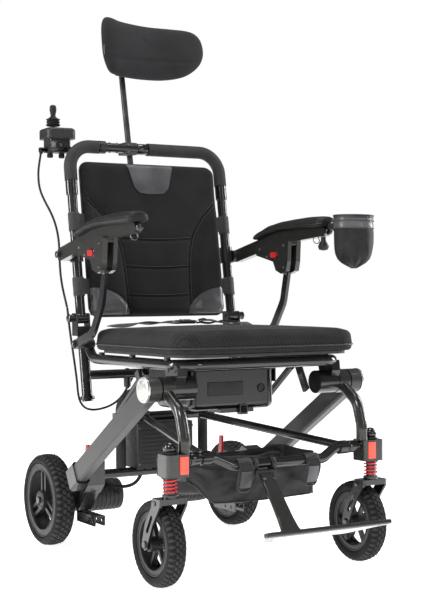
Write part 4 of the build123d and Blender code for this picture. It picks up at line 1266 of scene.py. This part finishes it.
# hub caps: oval silver cover with a turned ring
for s, t in SIDES:
    g = Geo()
    prof = [(0, 0.0262), (0.0012, 0.0262), (0.0024, 0.0250), (0.0030, 0.0225), (0.0026, 0.0210), (0.0028, 0.0190), (0.0036, 0.0120), (0.0038, 0.0)]
    g.lathe([(s * h, r) for h, r in prof], (s * 0.2693, -0.173, 0.399), (1, 0, 0), 0, 64)
    g.obj(f"hub_cap_{t}", "frame", K["cap_silver"], "cap_silver", auto=50)

# back frame: sleeves below the foam, top-bar sleeves, screws, clamp cover and knob
g = Geo()
for s, t in SIDES:
    for z0, z1, r in ((0.832, 0.868, 0.0142), (0.706, 0.712, 0.0158)):
        a, b = (z0 - 0.540) / UPV[2], (z1 - 0.540) / UPV[2]
        g.lathe([(0, 0.0117), (0, r - 0.001), (0.001, r), ((b - a) - 0.001, r), (b - a, r - 0.001), (b - a, 0.0117)], BP(s * 0.206, a, 0), UPV, 0, 40)
for x0, x1, mi in ((-0.026 + 0.001, 0.003, 0), (-0.131, -0.128, 0)):
    g.lathe([(0, 0.0117), (0, 0.0128), (0.0008, 0.0134), (x1 - x0 - 0.0008, 0.0134), (x1 - x0, 0.0128), (x1 - x0, 0.0117)], (x0, 0.326, 0.952), (1, 0, 0), mi, 40)
for x in (-0.124, -0.100, -0.080, -0.020, -0.003):
    for sz in (1, -1):
        screw(g, (x, 0.326 - 0.003, 0.952 + sz * 0.0108), (0, -0.15, sz), 0.0024, 2)
g.rbox((-0.043, 0.3375, 0.952), (0.0346, 0.0405, 0.0300), 0.004, 1)
for sz in (-1, 1):
    screw(g, (-0.052, 0.3175, 0.952 + sz * 0.009), (0, -1, 0), 0.0026, 2)
g.obj("back_frame_sleeves", "backrest", [K["plastic_gloss"], K["grey_clamp"], K["steel_dark"]], "plastic_gloss", auto=40)
g = Geo()
g.lathe([(0, 0.004), (-0.004, 0.0048), (-0.006, 0.0088), (-0.0085, 0.0096), (-0.0150, 0.0096), (-0.0175, 0.0080), (-0.0180, 0)], (-0.060, 0.345, 0.953), (1, 0, 0), 0, 32)
for k in range(10):
    a = 2 * pi * k / 10
    g.tube([(-0.0690, 0.345 + 0.0096 * cos(a), 0.953 + 0.0096 * sin(a)), (-0.0745, 0.345 + 0.0096 * cos(a), 0.953 + 0.0096 * sin(a))], 0.0011, 0, 6)
g.obj("headrest_clamp_knob", "backrest", K["plastic_black"], "plastic_black", auto=40)

# joystick pod: raised deck, buttons, power ring, front socket, clamp feet and bellows
g = Geo()
g.prism(round_corners([(-0.242, 0.354), (-0.178, 0.354), (-0.178, 0.414), (-0.242, 0.414)], 0.012), lambda x, y, h: (x, y, h), 0.9966, 0.9976, 0.0005, 1, 2)
g.prism(round_corners([(-0.243, 0.3505), (-0.191, 0.3505), (-0.191, 0.359), (-0.243, 0.359)], 0.003), lambda x, y, h: (x, y, h), 0.9400, 0.9700, 0.002, 1, 2)
for x, mi in ((-0.190, 2), (-0.183, 1)):
    g.lathe([(0, 0.0034), (0.0012, 0.0034), (0.0019, 0.0026), (0.0019, 0)], (x, 0.366, 0.9973), (0, 0, 1), mi, 20)
g.rbox((-0.1865, 0.400, 0.9980), (0.012, 0.020, 0.0012), 0.0005, 3)
g.lathe([(0, 0.0110), (-0.0014, 0.0114), (-0.0028, 0.0106), (-0.0030, 0.0074), (-0.0012, 0.0066), (-0.0012, 0)], (-0.217, 0.3500, 0.955), (0, 1, 0), 0, 32)
g.lathe([(0, 0.0056), (-0.0018, 0.0050), (-0.0018, 0)], (-0.217, 0.3488, 0.955), (0, 1, 0), 1, 24)
for x in (-0.236, -0.206):
    g.lathe([(0, 0.0066), (-0.002, 0.0074), (-0.007, 0.0074), (-0.009, 0.0060), (-0.0095, 0)], (x, 0.369, 0.9345), (0, 0, 1), 0, 20)
# boot that carries the lead out of the clamp block's side
g.rbox((-0.2510, 0.372, 0.9435), (0.022, 0.011, 0.011), 0.003, 0)
g.lathe([(-0.0035, 0.0029), (-0.0035, 0.0040), (0.003, 0.0050), (0.004, 0.0050)], (-0.258, 0.372, 0.9375), (0, 0, 1), 0, 20)
# rubber bellows under the stick
g.lathe([(0.0000, 0.0200), (0.0008, 0.0200), (0.0016, 0.0182), (0.0017, 0.0130)], (-0.220, 0.386, 0.9974), (0, 0, 1), 0, 40)
g.obj("joystick_pod_trim", "backrest", [K["rubber_black"], K["plastic_gloss"], K["steel_dark"], K["plastic_black"], K["lever_red"]], "plastic_gloss", auto=40)

# armrest details: pivot bolt, housing screws, D-ring, tube-end knob
for s, t in SIDES:
    g = Geo()
    for yz in ((0.052, 0.656), (0.050, 0.708), (0.156, 0.702), (0.124, 0.684)):
        screw(g, (s * 0.2592, *yz), (s, 0, 0), 0.0034, 0)
        screw(g, (s * 0.2233, *yz), (-s, 0, 0), 0.0034, 0)
    # pressed slot frame round the button
    for sx, d in ((0.2592, 1), (0.2233, -1)):
        pts = []
        for k in range(28):
            a = 2 * pi * k / 28
            pts.append((s * (sx + d * 0.0004), 0.092 + (0.007 if cos(a) > 0 else -0.007) + 0.0086 * cos(a), 0.687 + 0.0086 * sin(a)))
        g.tube(pts, 0.0010, 1, 6, closed=True)
    # ring under the front of the pad
    c = (s * 0.241, -0.084 if s < 0 else -0.060, 0.7165)
    g.tube([(c[0] + 0.0085 * cos(a), c[1] + 0.002 * sin(a), c[2] + 0.0080 * sin(a)) for a in np.arange(28) * 2 * pi / 28], 0.0012, 0, 8, closed=True)
    g.rbox((c[0], c[1], 0.7255), (0.014, 0.006, 0.006), 0.0015, 1)
    # tube end cover
    g.lathe([(0, 0.0088), (-0.0022, 0.0092), (-0.0050, 0.0080), (-0.0062, 0.0045), (-0.0066, 0)], (s * 0.241, -0.1085, 0.7352), (0, 1, 0), 1, 28)
    g.obj(f"armrest_trim_{t}", f"armrest_{t}", [K["steel_dark"], K["plastic_gloss"]], "steel_dark", auto=40)
    g = Geo()
    screw(g, (s * 0.2575, 0.287, 0.690), (s, 0, 0), 0.0062, 0)
    g.obj(f"armrest_pivot_bolt_{t}", "backrest", K["steel_dark"], "steel_dark", auto=40)
    g = Geo()
    screw(g, (s * 0.2440, 0.060, 0.645), (s, 0, 0), 0.0065, 0)
    screw(g, (s * 0.2360, 0.060, 0.645), (-s, 0, 0), 0.0065, 0)
    g.obj(f"arm_strut_bolt_{t}", f"arm_strut_{t}", K["steel_dark"], "steel_dark", auto=40)

# cone knob: ribbed skirt
g = Geo()
for k in range(14):
    a = 2 * pi * k / 14
    g.tube([(0.241 + r * cos(a), -0.088 + r * sin(a), z) for z, r in ((0.6935, 0.0090), (0.700, 0.0117), (0.7015, 0.0117), (0.7100, 0.0078))], 0.0009, 0, 6)
g.obj("cup_clamp_knob_ribs", "cup_clamp_knob", K["plastic_black"], "plastic_black", auto=40)

# battery: latch tab, label-free inset panel, grip ribs and the round end cap of the lead socket
g = Geo()
g.rbox((0.014, -0.1005, 0.3420), (0.019, 0.007, 0.020), 0.002, 0)
for k in range(5):
    g.rbox((0.014, -0.1040, 0.3345 + 0.0035 * k), (0.013, 0.0016, 0.0014), 0.0005, 1)
g.rbox((-0.030, -0.1001, 0.388), (0.090, 0.0030, 0.030), 0.0014, 1)
g.lathe([(0, 0.0100), (-0.0025, 0.0100), (-0.0035, 0.0090), (-0.0035, 0.0070), (-0.0015, 0.0066), (-0.0015, 0)], (0.062, -0.0995, 0.386), (0, 1, 0), 1, 32)
g.obj("battery_trim", "battery_pack", [K["grey_clamp"], K["plastic_black"], K["chrome"]], "plastic_gloss", auto=40)

# controller: connectors under the box and clipped looms to the motors
g = Geo()
for x in (-0.070, -0.046, -0.018, 0.010, 0.036):
    g.rbox((x, 0.2430, 0.1815), (0.016, 0.022, 0.008), 0.002, 0)
for x in (-0.088, 0.054):
    for z in (0.195, 0.280):
        screw(g, (x, 0.1995, z), (0, -1, 0), 0.0028, 1)
g.obj("controller_trim", "rear_frame", [K["plastic_black"], K["steel_dark"]], "plastic_black", auto=40)
for s, t in SIDES:
    x0 = -0.058 if s < 0 else 0.030
    pts = [(x0, 0.243, 0.1790), (x0 + s * 0.004, 0.246, 0.158), (x0 + s * 0.018, 0.262, 0.137), (x0 + s * 0.044, 0.287, 0.132), (s * 0.115, 0.312, 0.140), (s * 0.118, 0.322, 0.1455)]
    lm = curve(f"motor_loom_{t}", pts, 0.0042, K["cable_black"], "rear_frame")
# motor trim: cooling ribs and end ring
g = Geo()
for s, t in SIDES:
    for k in range(7):
        x = s * (0.086 + 0.011 * k)
        g.lathe([(-0.0016, 0.0366), (-0.0012, 0.0382), (0.0012, 0.0382), (0.0016, 0.0366)], (x, 0.350, 0.108), (1, 0, 0), 0, 64)
    for j in range(4):
        a = pi / 4 + j * pi / 2
        screw(g, (s * 0.0738, 0.350 + 0.029 * cos(a), 0.108 + 0.029 * sin(a)), (-s, 0, 0), 0.0028, 1)
g.obj("motor_trim", "rear_frame", [K["plastic_black"], K["steel_dark"]], "plastic_black", auto=40)
# bracket bolts
g = Geo()
for s, t in SIDES:
    for y, z in ((0.192, 0.192), (0.208, 0.172), (0.240, 0.178), (0.300, 0.118), (0.330, 0.090)):
        screw(g, (s * 0.2243, y, z), (s, 0, 0), 0.0036, 0)
        screw(g, (s * 0.1918, y, z), (-s, 0, 0), 0.0036, 0)
    g.lathe([(s * h, r) for h, r in ((0.0, 0.0088), (0.003, 0.0088), (0.004, 0.0075), (0.004, 0.0))], (s * 0.2805, 0.350, 0.108), (1, 0, 0), 0, 6)
g.obj("bracket_bolts", "rear_frame", K["steel_dark"], "steel_dark", auto=35)

# caster details: ball cap base ring, spring seats, axle nuts, fork crown screws
for s, t in SIDES:
    k = s * 0.249
    g = Geo()
    g.lathe([(0, 0.0105), (0.0, 0.0150), (0.0018, 0.0156), (0.0036, 0.0140), (0.0045, 0.0105)], (k, -0.248, 0.2752), (0, 0, 1), 0, 40)
    g.obj(f"caster_cap_ring_{t}", "frame", K["plastic_black"], "black_paint", auto=40)
    g = Geo()
    g.lathe([(0, 0.0100), (0.0, 0.0170), (-0.0015, 0.0175), (-0.0038, 0.0172), (-0.0042, 0.0145)], (k, -0.248, 0.2300), (0, 0, 1), 0, 40)
    g.obj(f"spring_seat_{t}", "frame", K["plastic_black"], "black_paint", auto=40)
    g = Geo()
    for sx in (-1, 1):
        g.lathe([(sx * h, r) for h, r in ((-0.0002, 0.0078), (0.0036, 0.0078), (0.0046, 0.0064), (0.0046, 0.0))], (k + sx * 0.0316, -0.198, 0.089), (1, 0, 0), 0, 6)
        g.lathe([(sx * h, r) for h, r in ((-0.0002, 0.0052), (0.0022, 0.0052), (0.0030, 0.0040), (0.0030, 0.0))], (k + sx * 0.0316, -0.240, 0.1775), (1, 0, 0), 0, 16)
    g.obj(f"caster_axle_nuts_{t}", f"caster_fork_{t}", K["steel_dark"], "steel_dark", auto=35)

# seat frame details: hinge bolts, knobs and tube-end plugs
g = Geo()
for s, t in SIDES:
    g.lathe([(s * h, r) for h, r in ((0, 0.0088), (0.0012, 0.0100), (0.0050, 0.0100), (0.0064, 0.0080), (0.0068, 0.0))], (s * 0.2338, 0.265, 0.540), (1, 0, 0), 0, 28)
    screw(g, (s * 0.2496, 0.219, 0.481), (s, 0, 0), 0.0062, 1)
    for y, z in ((-0.190, 0.436), (-0.160, 0.436), (-0.176, 0.418)):
        screw(g, (s * 0.2042, y, z), (s, 0, 0), 0.0034, 1)
    g.lathe([(0, 0.0160), (0.0, 0.0168), (0.003, 0.0172), (0.006, 0.0168), (0.006, 0.0130)], (s * 0.204, 0.236, 0.351), unit((0, 0.1498, 1)), 0, 36)
g.obj("seat_frame_trim", "frame", [K["plastic_gloss"], K["steel_dark"]], "black_paint", auto=40)
# cross-tube end sleeves
g = Geo()
for s, t in SIDES:
    g.lathe([(0, 0.0112), (0.0, 0.0126), (s * 0.0015, 0.0134), (s * 0.020, 0.0134), (s * 0.022, 0.0126), (s * 0.022, 0.0112)], (s * 0.184, -0.251, 0.262), (1, 0, 0), 0, 36)
g.obj("cross_tube_sleeves", "frame", K["plastic_gloss"], "black_paint", auto=40)

# ------------------------------------------------------------------ floor, light and colour
def floor_mat():
    m = Mat("studio_floor", (0.93, 0.93, 0.93), 0.75)
    m.colour(m.noise(3, 2), (0.925, 0.925, 0.925), (0.94, 0.94, 0.94))
    m.set("Emission Color", (1, 1, 1))
    m.set("Emission Strength", 0.86)
    m.set("Specular IOR Level", 0.1)
    return m.m


bm = bmesh.new()
bmesh.ops.create_circle(bm, cap_ends=True, radius=14, segments=96)
me = bpy.data.meshes.new("floor")
bm.to_mesh(me)
bm.free()
floor = bpy.data.objects.new("floor", me)
floor.location.z = -0.0005
me.materials.append(floor_mat())
bpy.context.collection.objects.link(floor)


def area(name, loc, aim, size, power, sy=None):
    li = bpy.data.lights.new(name, "AREA")
    li.energy, li.size = power, size
    if sy:
        li.shape, li.size_y = "RECTANGLE", sy
    o = bpy.data.objects.new(name, li)
    o.location = loc
    o.rotation_euler = (Vector(aim) - Vector(loc)).to_track_quat("-Z", "Y").to_euler()
    bpy.context.collection.objects.link(o)


area("key", (-2.3, -1.9, 2.9), (0, 0, 0.6), 0.9, 62)
area("fill_front", (1.0, -3.6, 1.6), (0, 0, 0.5), 0.5, 16, 1.6)
area("rim_left", (3.0, -0.2, 1.5), (0, 0, 0.6), 0.42, 75, 2.2)
area("rim_right", (-3.0, 0.9, 1.3), (0, 0, 0.6), 0.42, 70, 2.0)
area("top", (0.1, 0.1, 3.4), (0, 0, 0.4), 1.5, 62)
w = bpy.data.worlds.new("studio")
bpy.context.scene.world = w
w.use_nodes = True
nt = w.node_tree
bg = nt.nodes["Background"]
bg.inputs["Color"].default_value = (1, 1, 1, 1)
path = nt.nodes.new("ShaderNodeLightPath")
level = nt.nodes.new("ShaderNodeMapRange")
level.inputs["To Min"].default_value = 0.16
level.inputs["To Max"].default_value = 1.0
nt.links.new(path.outputs["Is Camera Ray"], level.inputs["Value"])
nt.links.new(level.outputs["Result"], bg.inputs["Strength"])
bpy.context.scene.view_settings.view_transform = "Standard"
bpy.context.scene.view_settings.look = "None"
bpy.context.scene.view_settings.exposure = 0.0
